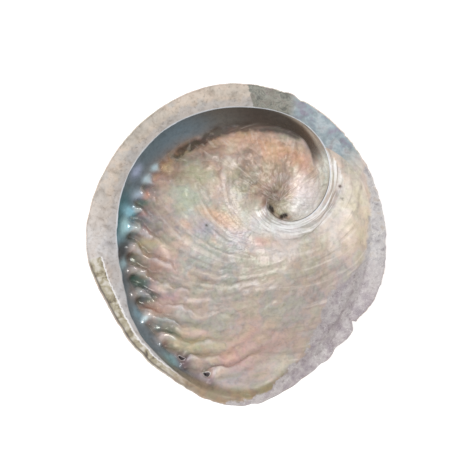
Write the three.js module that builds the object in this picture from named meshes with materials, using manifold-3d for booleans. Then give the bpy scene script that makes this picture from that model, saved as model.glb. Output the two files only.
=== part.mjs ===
// Pink abalone shell, lying on its back with the opening up. Millimetres, +Z up.
//
// A shell grows as a spiral about its apex, so it is built the same way: "growth" is the angle
// turned about the apex, in degrees, from the first whorl in the middle (-310) to the lip (410).
// At every growth angle one section is drawn, out from the apex, and neighbouring sections are
// joined. The outer turn starts on the fold of the turn before it, so the whole is one skin.

import * as THREE from 'three';
import { mergeVertices } from 'three/addons/utils/BufferGeometryUtils.js';
import Module from 'manifold-3d';

// Driving dimensions
const TURN = 360;
const FIRST_GROWTH = -310;
const FIRST_OUTER_GROWTH = 50; // where the outer turn begins, one turn after the first growth
const LAST_GROWTH = 410;
const SHELF_END = 240; // where the shelf has narrowed into the lip
const SECTIONS_PER_TURN = 72;
const APEX = new THREE.Vector2(21.5, 21.5); // apex, measured from the middle of the rim
const REST_HEIGHT = -45.4; // level of the worn flat on the back, below the rim

// Thicknesses of the shell
const LIP_THICKNESS = 2.2;
const SHELF_THICKNESS = 4;
const BOWL_THICKNESS = 4.2;
const CREST_THICKENING = 0.6; // more nacre under the middle of the bowl
const SHOULDER_WALL = 3.4; // sideways, through the wall at the pores

// Columns of each part of a section, for the small inner turn and the big outer one
const BOWL_COLUMNS = { inner: 6, outer: 15 };
const BACK_COLUMNS = { inner: 5, outer: 12 };
const MARGIN_COLUMNS = 4;
const RIM_COLUMNS = 2;

// The rim seen from above is an oval about its middle, drawn in at three places: the angle there,
// how far to either side, and how deep
const HALF_WIDTH = 71.9;
const HALF_LENGTH = 77.5;
const DRAWN_IN = [
  { at: 132, width: 26, depth: 1.1 }, // upper left, very slightly
  { at: 226, width: 34, depth: 5.6 }, // lower left, along the newest pores
  { at: 310, width: 27, depth: 5 }, // lower right, along the broken lip
];
const HALVINGS = 30; // of the distance from the apex, to find the rim

// Each line of a table is one growth angle, then distances from the apex and heights there.
// The rim's height
const RIM_HEIGHT = table([
  [50, -1], [90, -0.5], [130, 0], [190, 0], [230, -1], [255, -1.5], [275, -1], [300, -1.5],
  [340, 0], [360, 0], [380, -0.5], [410, -1],
]);
// The inner edge of the shelf, which dies away into the lip and winds in to the apex
const EDGE = table([
  [-310, 0, -35.5], [-240, 3, -35.2], [-190, 5, -34.6], [-150, 6.3, -32.8], [-90, 8.8, -28],
  [-55, 12.4, -22.5], [-24, 16.7, -16.5], [0, 20.8, -11.5], [27, 27, -7.5], [50, 33, -5],
  [70, 37.6, -3.6], [90, 41.9, -3], [110, 47.3, -2.6], [130, 55.5, -2.3], [150, 65.2, -2],
  [173, 74.6, -2], [190, 79.5, -1.8], [208, 85.3, -1.8], [218, 90.6, -2], [235, 95.2, -2.4],
  [250, 97.4, -2.6], [262, 94.6, -2.8], [275, 82.6, -2.8], [285, 75, -2.8], [300, 64.5, -3],
  [320, 53.5, -2.8], [340, 46.5, -2.6], [360, 42, -3], [380, 38.5, -3.8], [410, 33, -5],
]);
// The row of pores along the foot of the wall under the shelf
const SHOULDER = table([
  [-310, 0, -35.5], [-240, 2, -35.4], [-150, 4.4, -34.6], [-90, 6.3, -33.6], [-24, 12.2, -31.6],
  [27, 21.5, -28.5], [50, 27, -26], [70, 32, -24], [90, 35, -23.5], [115, 39.5, -24],
  [130, 44.2, -24.5], [152, 54.6, -26], [172, 65.4, -27], [190, 73.4, -26], [214, 83.4, -21],
  [230, 88, -15.5], [247, 91.6, -9], [260, 88.5, -7.4], [275, 76, -8], [285, 69, -8.6],
  [300, 58, -9.8], [320, 47, -10.5], [340, 40, -10.6], [360, 36, -9.8], [380, 34.5, -7.8],
  [410, 33, -5],
]);
// How far the wall bows out past the shelf edge, and the height where it does
const WALL = table([
  [-310, 0, -35.5], [-150, -0.4, -33.8], [-90, -0.8, -31.5], [0, -1.2, -20.5], [50, 0.3, -14],
  [90, 2, -11], [180, 2.6, -11.5], [215, 2, -9], [235, -0.4, -6], [250, -2.6, -5.2],
  [285, -3, -5.4], [320, -3.2, -6.2], [360, -3, -6.2], [380, -2, -5.7], [410, 0, -5],
]);
// Floor of the bowl: height near the inner fold, and height near the pores
const FLOOR = table([
  [-310, -35.5, -35.5], [-90, -35.4, -34.8], [0, -35.2, -34], [50, -35.8, -32.4],
  [90, -36.8, -32.8], [130, -38.4, -34.4], [170, -40.2, -36], [212, -41.4, -35.5],
  [240, -40.4, -31.5], [270, -36.6, -26], [300, -29.5, -20], [330, -20.5, -15.6],
  [360, -12.8, -12], [380, -9, -8.6], [410, -5, -5],
]);
// The suture on the back, where each turn wraps over the keel of the turn before it
const SUTURE = table([
  [-310, 0, -40], [-240, 4, -39.8], [-150, 10, -38.4], [-90, 15.4, -35], [-55, 20.4, -30],
  [-24, 26, -24], [0, 31.4, -18.6], [27, 38, -11], [50, 43.7, -5],
]);

// Where along the bowl, from the inner fold to the pores, the floor heights apply
const FLOOR_NEAR = 0.3;
const FLOOR_FAR = 0.68;
// The rounded fold that the outer turn starts with, at most a share of the bowl's width
const FOLD = { width: 7, share: 0.2, rise: 0.5, least: 1 };
// How much the shelf is crowned, and how much its rounded rim overhangs above and below
const SHELF_CROWN = 0.9;
const RIM_ROUND = { top: 0.7, nose: 0.45, bottom: 0.8 };
// Where the back's side wall bulges most, between the keel and the pores, and by how much
const SIDE = { share: 0.42, drop: 0.5, bulge: 1.2 };

// Pores, from the newest back: growth angle, and whether it is still open
const PORES = [
  { growth: 247, open: true }, { growth: 238, open: true }, { growth: 229, open: false },
  { growth: 220.5, open: false }, { growth: 212.5, open: false }, { growth: 205, open: false },
  { growth: 198, open: false },
];
const PORE = { sides: 12, bore: 1.6, base: 6.6, tip: 3.2, height: 2.6, sunk: 2.8, lean: 40 };
const BORE_DEPTH = 14;

const SHELL_MATERIAL = new THREE.MeshStandardMaterial({
  name: 'nacre', color: '#c9bfb0', roughness: 0.35, metalness: 0.1,
});

// The oval's distance from its middle, at an angle in degrees
function ovalRadius(angle) {
  const turned = THREE.MathUtils.degToRad(angle);
  const full = 1 / Math.hypot(Math.cos(turned) / HALF_WIDTH, Math.sin(turned) / HALF_LENGTH);
  return DRAWN_IN.reduce((radius, { at, width, depth }) => {
    const away = THREE.MathUtils.euclideanModulo(angle - at + TURN / 2, TURN) - TURN / 2;
    return radius - depth * Math.exp(-((away / width) ** 4));
  }, full);
}

// Radius from the apex, and height, of the rim at a growth angle
function rimAt(growth) {
  const turned = THREE.MathUtils.degToRad(growth);
  let inside = 0;
  let outside = 2 * HALF_LENGTH;
  for (let i = 0; i < HALVINGS; i += 1) {
    const radius = (inside + outside) / 2;
    const x = APEX.x + radius * Math.cos(turned);
    const y = APEX.y + radius * Math.sin(turned);
    const within = Math.hypot(x, y) < ovalRadius(THREE.MathUtils.radToDeg(Math.atan2(y, x)));
    if (within) inside = radius;
    else outside = radius;
  }
  return [outside, RIM_HEIGHT(growth)[0]];
}

// A table that can be read at any growth angle, as a smooth curve through its lines
function table(lines) {
  const width = lines[0].length - 1;
  const growths = lines.map((line) => line[0]);
  const values = lines.flatMap((line) => line.slice(1));
  const curve = new THREE.CubicInterpolant(growths, values, width);
  return (growth) => Array.from(curve.evaluate(growth));
}

function mix(a, b, share) {
  return a + (b - a) * share;
}

// 0 up to one growth angle, 1 from another on, with a soft step between
function smoothstep(growth, from, to) {
  return THREE.MathUtils.smoothstep(growth, from, to);
}

// Points spaced evenly along a smooth curve through the given ones
function alongCurve(points, columns) {
  const vectors = points.map(([radius, height]) => new THREE.Vector2(radius, height));
  const curve = new THREE.SplineCurve(vectors);
  return curve.getSpacedPoints(columns).map((point) => [point.x, point.y]);
}

// Where a section starts inside: at the apex, or on the shelf edge of the turn before it
function foldAt(growth) {
  return EDGE(Math.max(growth - TURN, FIRST_GROWTH));
}

function sutureAt(growth) {
  return SUTURE(Math.max(growth - TURN, FIRST_GROWTH));
}

// The points that the bowl's section passes through, from the inner fold to the shelf edge
function bowlSection(growth) {
  const [foldRadius, foldHeight] = foldAt(growth);
  const [edgeRadius, edgeHeight] = EDGE(growth);
  const [poreRadius, poreHeight] = SHOULDER(growth);
  const [bow, bowHeight] = WALL(growth);
  const [nearHeight, farHeight] = FLOOR(growth);
  const room = poreRadius - foldRadius;
  const fold = Math.min(FOLD.width, room * FOLD.share, foldRadius);
  const crest = fold > FOLD.least ? [[foldRadius + fold, foldHeight + FOLD.rise]] : [];
  return [
    [foldRadius, foldHeight],
    ...crest,
    [foldRadius + room * FLOOR_NEAR, nearHeight],
    [foldRadius + room * FLOOR_FAR, farHeight],
    [poreRadius, poreHeight],
    [edgeRadius + bow, bowHeight],
    [edgeRadius, edgeHeight],
  ];
}

// The shelf, or past its end the plain margin of the lip, from the shelf edge to the rim
function marginSection(growth) {
  const [edgeRadius, edgeHeight] = EDGE(growth);
  const [rimRadius, rimHeight] = rimAt(growth);
  const crown = SHELF_CROWN * (1 - smoothstep(growth, SHELF_END - 20, SHELF_END + 20));
  const middle = [mix(edgeRadius, rimRadius, 0.5), mix(edgeHeight, rimHeight, 0.5) + crown];
  return [[edgeRadius, edgeHeight], middle, [rimRadius - RIM_ROUND.top, rimHeight]];
}

// Thickness at the rim: thick on the shelf side, thin along the growing lip
function rimThickness(growth) {
  const lip = smoothstep(growth, SHELF_END - 30, SHELF_END + 30);
  const joint = smoothstep(growth, LAST_GROWTH - 50, LAST_GROWTH);
  return mix(SHELF_THICKNESS, LIP_THICKNESS, lip * (1 - joint));
}

// The rounded rim, down to the keel where the back begins
function rimSection(growth) {
  const [rimRadius, rimHeight] = rimAt(growth);
  const thickness = rimThickness(growth);
  return [
    [rimRadius - RIM_ROUND.top, rimHeight],
    [rimRadius, rimHeight - thickness * RIM_ROUND.nose],
    [rimRadius - RIM_ROUND.bottom, rimHeight - thickness],
  ];
}

// The back under the bowl, from the keel in to the suture
function backSection(growth) {
  const [poreRadius, poreHeight] = SHOULDER(growth);
  const [sutureRadius, sutureHeight] = sutureAt(growth);
  const [nearHeight, farHeight] = FLOOR(growth);
  const [foldRadius] = foldAt(growth);
  const keel = growth < FIRST_OUTER_GROWTH ? SUTURE(growth) : rimSection(growth).at(-1);
  const size = Math.min(1, keel[0] / SUTURE(FIRST_OUTER_GROWTH)[0]);
  const room = poreRadius - foldRadius;
  const shoulder = [poreRadius + SHOULDER_WALL * size, poreHeight - BOWL_THICKNESS];
  const side = [
    mix(keel[0], shoulder[0], SIDE.share) + SIDE.bulge * size,
    mix(keel[1], shoulder[1], SIDE.drop),
  ];
  const far = [foldRadius + room * FLOOR_FAR + 1.5 * size, farHeight - BOWL_THICKNESS];
  const nearThickness = BOWL_THICKNESS + CREST_THICKENING;
  const near = [foldRadius + room * FLOOR_NEAR, nearHeight - nearThickness];
  const spine = [shoulder, far, near].filter(([radius]) => radius > sutureRadius + 2 * size);
  return [keel, side, ...spine, [sutureRadius, sutureHeight]];
}

// Vertices are shared by number, so neighbouring strips close on each other exactly
const vertices = [];
const triangles = [];

function addVertex(growth, radius, height) {
  const angle = THREE.MathUtils.degToRad(((growth % TURN) + TURN) % TURN);
  const x = APEX.x + radius * Math.cos(angle);
  const y = APEX.y + radius * Math.sin(angle);
  vertices.push(x, y, Math.max(height, REST_HEIGHT));
  return vertices.length / 3 - 1;
}

// A row of new vertices along a section, whose two ends may be vertices that exist already
function addRow(growth, section, columns, first, last) {
  const points = alongCurve(section, columns);
  return points.map(([radius, height], index) => {
    if (index === 0 && first !== undefined) return first;
    if (index === columns && last !== undefined) return last;
    return addVertex(growth, radius, height);
  });
}

function addTriangle(a, b, c) {
  if (a !== b && b !== c && c !== a) triangles.push(a, b, c);
}

// Join two neighbouring rows, which may have different numbers of vertices
function joinRows(row, next) {
  let i = 0;
  let j = 0;
  while (i < row.length - 1 || j < next.length - 1) {
    const rowShare = (i + 1) / (row.length - 1 || 1);
    const nextShare = (j + 1) / (next.length - 1 || 1);
    if (j === next.length - 1 || (i < row.length - 1 && rowShare <= nextShare)) {
      addTriangle(row[i], row[i + 1], next[j]);
      i += 1;
    } else {
      addTriangle(row[i], next[j + 1], next[j]);
      j += 1;
    }
  }
}

function growthOf(index) {
  return FIRST_GROWTH + (index * TURN) / SECTIONS_PER_TURN;
}

// Every section of the shell, as rows of vertex numbers
function layOutRows() {
  const insideApex = addVertex(0, ...EDGE(FIRST_GROWTH));
  const outsideApex = addVertex(0, ...SUTURE(FIRST_GROWTH));
  const bowl = [[insideApex]];
  const back = [[outsideApex]];
  const margin = [];
  const rim = [];
  for (let index = 1; index < 2 * SECTIONS_PER_TURN; index += 1) {
    const growth = growthOf(index);
    const before = index - SECTIONS_PER_TURN;
    const outer = before > 0;
    const bowlColumns = outer ? BOWL_COLUMNS.outer : BOWL_COLUMNS.inner;
    const backColumns = outer ? BACK_COLUMNS.outer : BACK_COLUMNS.inner;
    const fold = outer ? bowl[before].at(-1) : insideApex;
    const suture = outer ? back[before][0] : outsideApex;
    bowl.push(addRow(growth, bowlSection(growth), bowlColumns, fold));
    if (before >= 0) {
      const edge = bowl[index].at(-1);
      margin.push(addRow(growth, marginSection(growth), MARGIN_COLUMNS, edge));
      rim.push(addRow(growth, rimSection(growth), RIM_COLUMNS, margin.at(-1).at(-1)));
    }
    const keel = before >= 0 ? rim.at(-1).at(-1) : undefined;
    back.push(addRow(growth, backSection(growth), backColumns, keel, suture));
  }
  bowl.push([bowl[SECTIONS_PER_TURN].at(-1)]);
  back.push([back[SECTIONS_PER_TURN][0]]);
  margin.push(margin[0]);
  rim.push(rim[0]);
  return [bowl, margin, rim, back];
}

function closedSkin() {
  for (const rows of layOutRows()) {
    for (let index = 0; index < rows.length - 1; index += 1) {
      joinRows(rows[index], rows[index + 1]);
    }
  }
  return { vertProperties: Float32Array.from(vertices), triVerts: Uint32Array.from(triangles) };
}

// A point on the outside of a pore, and the way its tube leans out from the apex
function porePlace({ growth }) {
  const angle = THREE.MathUtils.degToRad(growth);
  const [radius, height] = SHOULDER(growth);
  const lean = THREE.MathUtils.degToRad(PORE.lean);
  const outwards = new THREE.Vector3(Math.cos(angle), Math.sin(angle), 0);
  const axis = outwards.clone().multiplyScalar(Math.sin(lean));
  axis.z = -Math.cos(lean);
  const skin = outwards.clone().multiplyScalar(radius + SHOULDER_WALL * 0.7);
  skin.x += APEX.x;
  skin.y += APEX.y;
  skin.z = height - BOWL_THICKNESS;
  return { skin, axis };
}

// A cylinder or cone along a pore's axis, from one distance off the skin to another
function alongPore(wasm, place, radiusInside, radiusOutside, from, to) {
  const length = to - from;
  const shape = new THREE.CylinderGeometry(radiusOutside, radiusInside, length, PORE.sides);
  const turn = new THREE.Quaternion().setFromUnitVectors(new THREE.Vector3(0, 1, 0), place.axis);
  const middle = place.skin.clone().addScaledVector(place.axis, (from + to) / 2);
  shape.applyQuaternion(turn);
  shape.translate(middle.x, middle.y, middle.z);
  return solidOf(wasm, shape);
}

function solidOf(wasm, shape) {
  shape.deleteAttribute('normal');
  shape.deleteAttribute('uv');
  const merged = mergeVertices(shape, 1e-4);
  return new wasm.Manifold(new wasm.Mesh({
    numProp: 3,
    vertProperties: merged.attributes.position.array,
    triVerts: Uint32Array.from(merged.index.array),
  }));
}

// Raise each pore's tube on the back, and bore the open ones through into the bowl
function addPores(wasm, skin) {
  let shell = skin;
  for (const pore of PORES) {
    const tube = alongPore(wasm, porePlace(pore), PORE.base, PORE.tip, -PORE.sunk, PORE.height);
    shell = shell.add(tube);
  }
  for (const pore of PORES.filter(({ open }) => open)) {
    const bore = alongPore(wasm, porePlace(pore), PORE.bore, PORE.bore, -BORE_DEPTH, PORE.height + 2);
    shell = shell.subtract(bore);
  }
  return shell;
}

// The finished solid as three.js geometry, standing on the middle of its box's underside
function geometryOf(solid) {
  const { vertProperties, triVerts, numProp } = solid.getMesh();
  const geometry = new THREE.BufferGeometry();
  const positions = new Float32Array((vertProperties.length / numProp) * 3);
  for (let index = 0; index < positions.length / 3; index += 1) {
    for (let axis = 0; axis < 3; axis += 1) {
      positions[index * 3 + axis] = vertProperties[index * numProp + axis];
    }
  }
  geometry.setAttribute('position', new THREE.BufferAttribute(positions, 3));
  geometry.setIndex(Array.from(triVerts));
  geometry.computeBoundingBox();
  const box = geometry.boundingBox;
  const middle = box.getCenter(new THREE.Vector3());
  geometry.translate(-middle.x, -middle.y, -box.min.z);
  geometry.computeVertexNormals();
  return geometry;
}

const wasm = await Module();
wasm.setup();
const skin = new wasm.Manifold(new wasm.Mesh({ numProp: 3, ...closedSkin() }));
const shell = new THREE.Mesh(geometryOf(addPores(wasm, skin)), SHELL_MATERIAL);
shell.name = 'shell';

const abalone = new THREE.Group();
abalone.add(shell);

export default abalone;
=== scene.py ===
"""A pink abalone shell lying on its back, seen from straight above.

The frame gives the size and the place. The shell is one grown piece: its skin winds round the
apex twice, so it is drawn section by section along that growth, and not from a primitive.
Lengths in the shell's own sections are in millimetres from the apex, and angles in degrees.
"""

import math

import bpy
import numpy as np
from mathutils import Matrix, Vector, noise


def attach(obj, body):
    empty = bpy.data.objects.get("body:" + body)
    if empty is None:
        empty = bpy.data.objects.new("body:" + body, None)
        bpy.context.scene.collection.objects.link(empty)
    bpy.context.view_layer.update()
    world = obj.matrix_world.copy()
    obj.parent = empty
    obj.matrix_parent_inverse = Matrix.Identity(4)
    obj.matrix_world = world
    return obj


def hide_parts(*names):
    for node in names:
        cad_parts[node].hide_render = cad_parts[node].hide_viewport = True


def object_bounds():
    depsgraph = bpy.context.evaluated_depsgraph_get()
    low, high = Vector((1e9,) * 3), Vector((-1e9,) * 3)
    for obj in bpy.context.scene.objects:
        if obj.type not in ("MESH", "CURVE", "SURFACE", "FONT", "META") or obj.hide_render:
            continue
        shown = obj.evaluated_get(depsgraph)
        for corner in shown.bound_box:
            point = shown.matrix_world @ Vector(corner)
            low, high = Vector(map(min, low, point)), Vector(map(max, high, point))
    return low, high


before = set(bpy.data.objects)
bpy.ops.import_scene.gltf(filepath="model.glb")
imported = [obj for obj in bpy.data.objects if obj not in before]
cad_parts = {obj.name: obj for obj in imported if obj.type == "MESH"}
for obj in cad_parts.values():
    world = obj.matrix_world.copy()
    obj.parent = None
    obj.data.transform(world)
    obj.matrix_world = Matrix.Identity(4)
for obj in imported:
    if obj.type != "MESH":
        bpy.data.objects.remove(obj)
CAD_LOW, CAD_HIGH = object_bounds()
bpy.ops.object.select_all(action="DESELECT")
MM = 0.001

# ---------------------------------------------------------------------------------- Camera
# Straight above the bowl, a little off the shell's middle, so that it sits low in the frame.
SENSOR = 36.0
VIEW_WIDTH = 214.6 * MM  # what the frame takes in across, at the height of the rim
CAMERA_HEIGHT = 700 * MM
CAMERA_OFFSET = Vector((-5.2, 9.5, 0)) * MM

middle = (CAD_LOW + CAD_HIGH) / 2
camera_data = bpy.data.cameras.new("camera")
camera_data.sensor_width = SENSOR
camera_data.lens = SENSOR * CAMERA_HEIGHT / VIEW_WIDTH
camera_data.clip_start = 10 * MM
camera_data.clip_end = 10
camera = bpy.data.objects.new("camera", camera_data)
camera.location = Vector((middle.x, middle.y, CAD_HIGH.z + CAMERA_HEIGHT)) + CAMERA_OFFSET
bpy.context.scene.collection.objects.link(camera)
bpy.context.scene.camera = camera

# ---------------------------------------------------------------------------------- Studio
# A white matt table, one big soft light overhead, a low side light and an even white room.
FLOOR_SIZE = 6.0


def linear(hex_colour):
    """An sRGB hex colour as linear red, green, blue and full alpha."""
    channels = [int(hex_colour[i:i + 2], 16) / 255 for i in (1, 3, 5)]
    return [c / 12.92 if c <= 0.04045 else ((c + 0.055) / 1.055) ** 2.4 for c in channels] + [1.0]


def add(tree, kind, inputs=None, output=0, stops=(), **settings):
    """Add a shader node: its inputs as values or links, its settings, and a ramp's colour stops."""
    made = tree.nodes.new("ShaderNode" + kind)
    for field, value in settings.items():
        setattr(made, field, value)
    for socket, value in (inputs or {}).items():
        if isinstance(value, bpy.types.NodeSocket):
            tree.links.new(value, made.inputs[socket])
        else:
            made.inputs[socket].default_value = value
    for _ in stops[2:]:
        made.color_ramp.elements.new(0.5)
    for number, (position, hex_colour) in enumerate(stops):
        made.color_ramp.elements[number].position = position
        made.color_ramp.elements[number].color = linear(hex_colour)
    return None if output is None else made.outputs[output]


def new_material(name):
    material = bpy.data.materials.new(name)
    material.use_nodes = True
    tree = material.node_tree
    tree.nodes.clear()
    return material, tree


bpy.ops.mesh.primitive_plane_add(size=FLOOR_SIZE, location=(0, 0, CAD_LOW.z))
floor = bpy.context.object
floor.name = "floor"
table_material, tree = new_material("matt white table")
surface = add(tree, "BsdfPrincipled", {
    "Base Color": linear("#f4f4f4"), "Roughness": 0.9, "Specular IOR Level": 0.1,
    "Emission Color": linear("#ffffff"), "Emission Strength": 0.42,
})
add(tree, "OutputMaterial", {"Surface": surface}, output=None)
floor.data.materials.append(table_material)

room = bpy.data.worlds.new("white room")
room.use_nodes = True
room.node_tree.nodes["Background"].inputs["Color"].default_value = linear("#fdfdff")
room.node_tree.nodes["Background"].inputs["Strength"].default_value = 0.68
bpy.context.scene.world = room


def softbox(name, size, place, power):
    """A square area light that faces the middle of the shell."""
    data = bpy.data.lights.new(name, "AREA")
    data.size = size
    data.energy = power
    light = bpy.data.objects.new(name, data)
    light.location = place
    aim = middle - light.location
    light.rotation_euler = aim.to_track_quat("-Z", "Y").to_euler()
    bpy.context.scene.collection.objects.link(light)


softbox("overhead softbox", 0.8, Vector((-0.40, -0.02, 1.35)), 11.5)
softbox("low side light", 0.16, Vector((0.62, 0.30, 0.30)), 1.0)

bpy.context.scene.view_settings.view_transform = "Standard"

# ---------------------------------------------------------------------------------- Shell
# An abalone's shell is one piece of layered aragonite, nacre inside and a chalky layer outside.
# It grows at the lip in an opening spiral, and leaves a row of pores along its left shoulder.
TURN = 360
FIRST_GROWTH = -310
LAST_GROWTH = 410
JOINT_GROWTH = 50  # the outer turn begins here, one turn after the first growth
SHELF_END = 240
APEX = np.array([21.5, 21.5])  # from the middle of the rim
REST_HEIGHT = -45.4  # the worn flat on the back, below the rim
LIP_THICKNESS = 2.2
SHELF_THICKNESS = 4.0
BOWL_THICKNESS = 4.2
CREST_THICKENING = 0.6
SHOULDER_WALL = 3.4


def table(lines):
    """A smooth curve through lines of one growth angle and the values there."""
    lines = np.array(lines, float)
    at, values = lines[:, 0], lines[:, 1:]
    slopes = np.gradient(values, at, axis=0)

    def read(growth):
        growth = np.asarray(growth, float)
        i = np.clip(np.searchsorted(at, growth, side="right") - 1, 0, len(at) - 2)
        step = (at[i + 1] - at[i])[..., None]
        t = np.clip((growth - at[i])[..., None] / step, 0, 1)
        return (
            values[i] * (1 + 2 * t) * (1 - t) ** 2 + values[i + 1] * t * t * (3 - 2 * t)
            + slopes[i] * step * t * (1 - t) ** 2 - slopes[i + 1] * step * t * t * (1 - t)
        )

    return read


# The rim seen from above is an oval about its middle, drawn in at three places: the angle there,
# how far to either side, and how deep
HALF_WIDTH = 71.9
HALF_LENGTH = 77.5
DRAWN_IN = [(132, 26, 1.1), (226, 34, 5.6), (310, 27, 5)]
RIM_HEIGHT = table([
    [50, -1], [90, -0.5], [130, 0], [190, 0], [230, -1], [255, -1.5], [275, -1], [300, -1.5],
    [340, 0], [360, 0], [380, -0.5], [410, -1],
])
HALVINGS = 30  # of the distance from the apex, to find the rim


def oval_radius(angle):
    """The oval's distance from its middle, at an angle in degrees."""
    turned = np.radians(angle)
    full = 1 / np.hypot(np.cos(turned) / HALF_WIDTH, np.sin(turned) / HALF_LENGTH)
    for at, width, depth in DRAWN_IN:
        full = full - depth * np.exp(-(((angle - at + 180) % TURN - 180) / width) ** 4)
    return full


def rim_at(growth):
    """Radius from the apex, and height, of the rim at a growth angle."""
    growth = np.asarray(growth, float)
    turned = np.radians(growth)
    out = np.stack([np.cos(turned), np.sin(turned)], -1)
    inside, outside = np.zeros_like(growth), np.full_like(growth, 2 * HALF_LENGTH)
    for _ in range(HALVINGS):
        radius = (inside + outside) / 2
        at_x, at_y = np.moveaxis(APEX + radius[..., None] * out, -1, 0)
        within = np.hypot(at_x, at_y) < oval_radius(np.degrees(np.arctan2(at_y, at_x)))
        inside, outside = np.where(within, radius, inside), np.where(within, outside, radius)
    return np.stack([outside, RIM_HEIGHT(growth)[..., 0]], -1)


# The inner edge of the shelf, which dies away into the lip and winds in to the apex
EDGE = table([
    [-310, 0, -35.5], [-240, 3, -35.5], [-190, 5, -35.3], [-150, 6.3, -35], [-90, 8.8, -28.4],
    [-55, 12.4, -22.5], [-24, 16.7, -16.5], [0, 20.8, -11.5], [27, 27, -7.5], [50, 33, -5],
    [70, 37.6, -3.6], [90, 41.9, -3], [110, 47.3, -2.6], [130, 55.5, -2.3], [150, 65.2, -2],
    [173, 74.6, -2], [190, 79.5, -1.8], [208, 85.3, -1.8], [218, 90.6, -2], [235, 95.2, -2.4],
    [250, 97.4, -2.6], [262, 94.6, -2.8], [275, 82.6, -2.8], [285, 75, -2.8], [300, 64.5, -3],
    [320, 53.5, -2.8], [340, 46.5, -2.6], [360, 42, -3], [380, 38.5, -3.8], [410, 33, -5],
])
# The row of pores along the foot of the wall under the shelf
SHOULDER = table([
    [-310, 0, -35.5], [-240, 2, -35.4], [-150, 4.4, -34.6], [-90, 6.3, -33.6], [-24, 11.4, -31.6],
    [27, 18.4, -28.5], [50, 25.2, -26], [70, 32, -24], [90, 35, -23.5], [115, 39.5, -24],
    [130, 44.2, -24.5], [152, 54.6, -26], [172, 65.4, -27], [190, 73.4, -26], [214, 83.4, -21],
    [230, 88, -15.5], [247, 91.6, -9], [260, 88.5, -7.4], [275, 76, -8], [285, 69, -8.6],
    [300, 58, -9.8], [320, 47, -10.5], [340, 40, -10.6], [360, 36, -9.8], [380, 34.5, -7.8],
    [410, 33, -5],
])
# How far the wall bows out past the shelf edge, and the height where it does
WALL = table([
    [-310, 0, -35.5], [-150, -0.4, -33.8], [-90, -1.2, -31.5], [0, -3.4, -21], [27, -4.2, -18],
    [50, -2.2, -13.5], [90, 1.8, -11], [180, 2.6, -11.5], [215, 2, -9], [235, -0.4, -6], [250, -2.6, -5.2],
    [285, -3, -5.4], [320, -3.2, -6.2], [360, -3, -6.2], [380, -2, -5.7], [410, 0, -5],
])
# The floor of the bowl: height near the inner fold, and near the pores
FLOOR = table([
    [-310, -35.5, -35.5], [-90, -35.4, -34.8], [0, -35.2, -34], [50, -35.8, -32.4],
    [90, -36.8, -32.8], [130, -38.4, -34.4], [170, -40.2, -36], [212, -41.4, -35.5],
    [240, -40.4, -31.5], [270, -36.6, -26], [300, -29.5, -20], [330, -20.5, -15.6],
    [360, -12.8, -12], [380, -9, -8.6], [410, -5, -5],
])
# The suture on the back, where each turn wraps over the one before it
SUTURE = table([
    [-310, 0, -40], [-240, 4, -39.8], [-150, 10, -38.4], [-90, 15.4, -35], [-55, 20.4, -30],
    [-24, 26, -24], [0, 31.4, -18.6], [27, 38, -11], [50, 43.7, -5],
])
FLOOR_NEAR, FLOOR_FAR = 0.3, 0.68


def smooth(value, start, end):
    """0 up to start, 1 from end on, with a soft step between them; either may be the larger."""
    t = np.clip((np.asarray(value, float) - start) / (end - start), 0, 1)
    return t * t * (3 - 2 * t)


def mix(a, b, share):
    return a + (b - a) * share


def bowl_section(growth):
    fold_radius, fold_height = EDGE(max(growth - TURN, FIRST_GROWTH))
    edge_radius, edge_height = EDGE(growth)
    pore_radius, pore_height = SHOULDER(growth)
    bow, bow_height = WALL(growth)
    near, far = FLOOR(growth)
    width = pore_radius - fold_radius
    fold = min(7.0, 0.2 * width, fold_radius)
    rise = mix(-1.7 * smooth(growth, 185, 225), 0.3, smooth(growth, 310, 350))
    crest = [[fold_radius + fold, fold_height + rise]] if fold > 1 else []
    return [
        [fold_radius, fold_height], *crest,
        [fold_radius + width * FLOOR_NEAR, near], [fold_radius + width * FLOOR_FAR, far],
        [pore_radius, pore_height], [edge_radius + bow, bow_height], [edge_radius, edge_height],
    ]


def margin_section(growth):
    edge_radius, edge_height = EDGE(growth)
    rim_radius, rim_height = rim_at(growth)
    crown = 0.9 * (1 - smooth(growth, SHELF_END - 20, SHELF_END + 20))
    halfway = [mix(edge_radius, rim_radius, 0.5), mix(edge_height, rim_height, 0.5) + crown]
    return [[edge_radius, edge_height], halfway, [rim_radius - 0.7, rim_height]]


def rim_section(growth):
    rim_radius, rim_height = rim_at(growth)
    lip = smooth(growth, SHELF_END - 30, SHELF_END + 30)
    joint = smooth(growth, LAST_GROWTH - 50, LAST_GROWTH)
    thickness = mix(SHELF_THICKNESS, LIP_THICKNESS, lip * (1 - joint))
    return [
        [rim_radius - 0.7, rim_height], [rim_radius, rim_height - thickness * 0.45],
        [rim_radius - 0.8, rim_height - thickness],
    ]


def back_section(growth):
    pore_radius, pore_height = SHOULDER(growth)
    suture_radius, suture_height = SUTURE(max(growth - TURN, FIRST_GROWTH))
    near, far = FLOOR(growth)
    fold_radius = EDGE(max(growth - TURN, FIRST_GROWTH))[0]
    keel = SUTURE(growth) if growth < JOINT_GROWTH else rim_section(growth)[-1]
    size = min(1, keel[0] / SUTURE(JOINT_GROWTH)[0])
    width = pore_radius - fold_radius
    shoulder = [pore_radius + SHOULDER_WALL * size, pore_height - BOWL_THICKNESS]
    side = [mix(keel[0], shoulder[0], 0.42) + 1.2 * size, mix(keel[1], shoulder[1], 0.5)]
    spine = [
        shoulder,
        [fold_radius + width * FLOOR_FAR + 1.5 * size, far - BOWL_THICKNESS],
        [fold_radius + width * FLOOR_NEAR, near - BOWL_THICKNESS - CREST_THICKENING],
    ]
    spine = [point for point in spine if point[0] > suture_radius + 2 * size]
    return [keel, side, *spine, [suture_radius, suture_height]]


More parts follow.
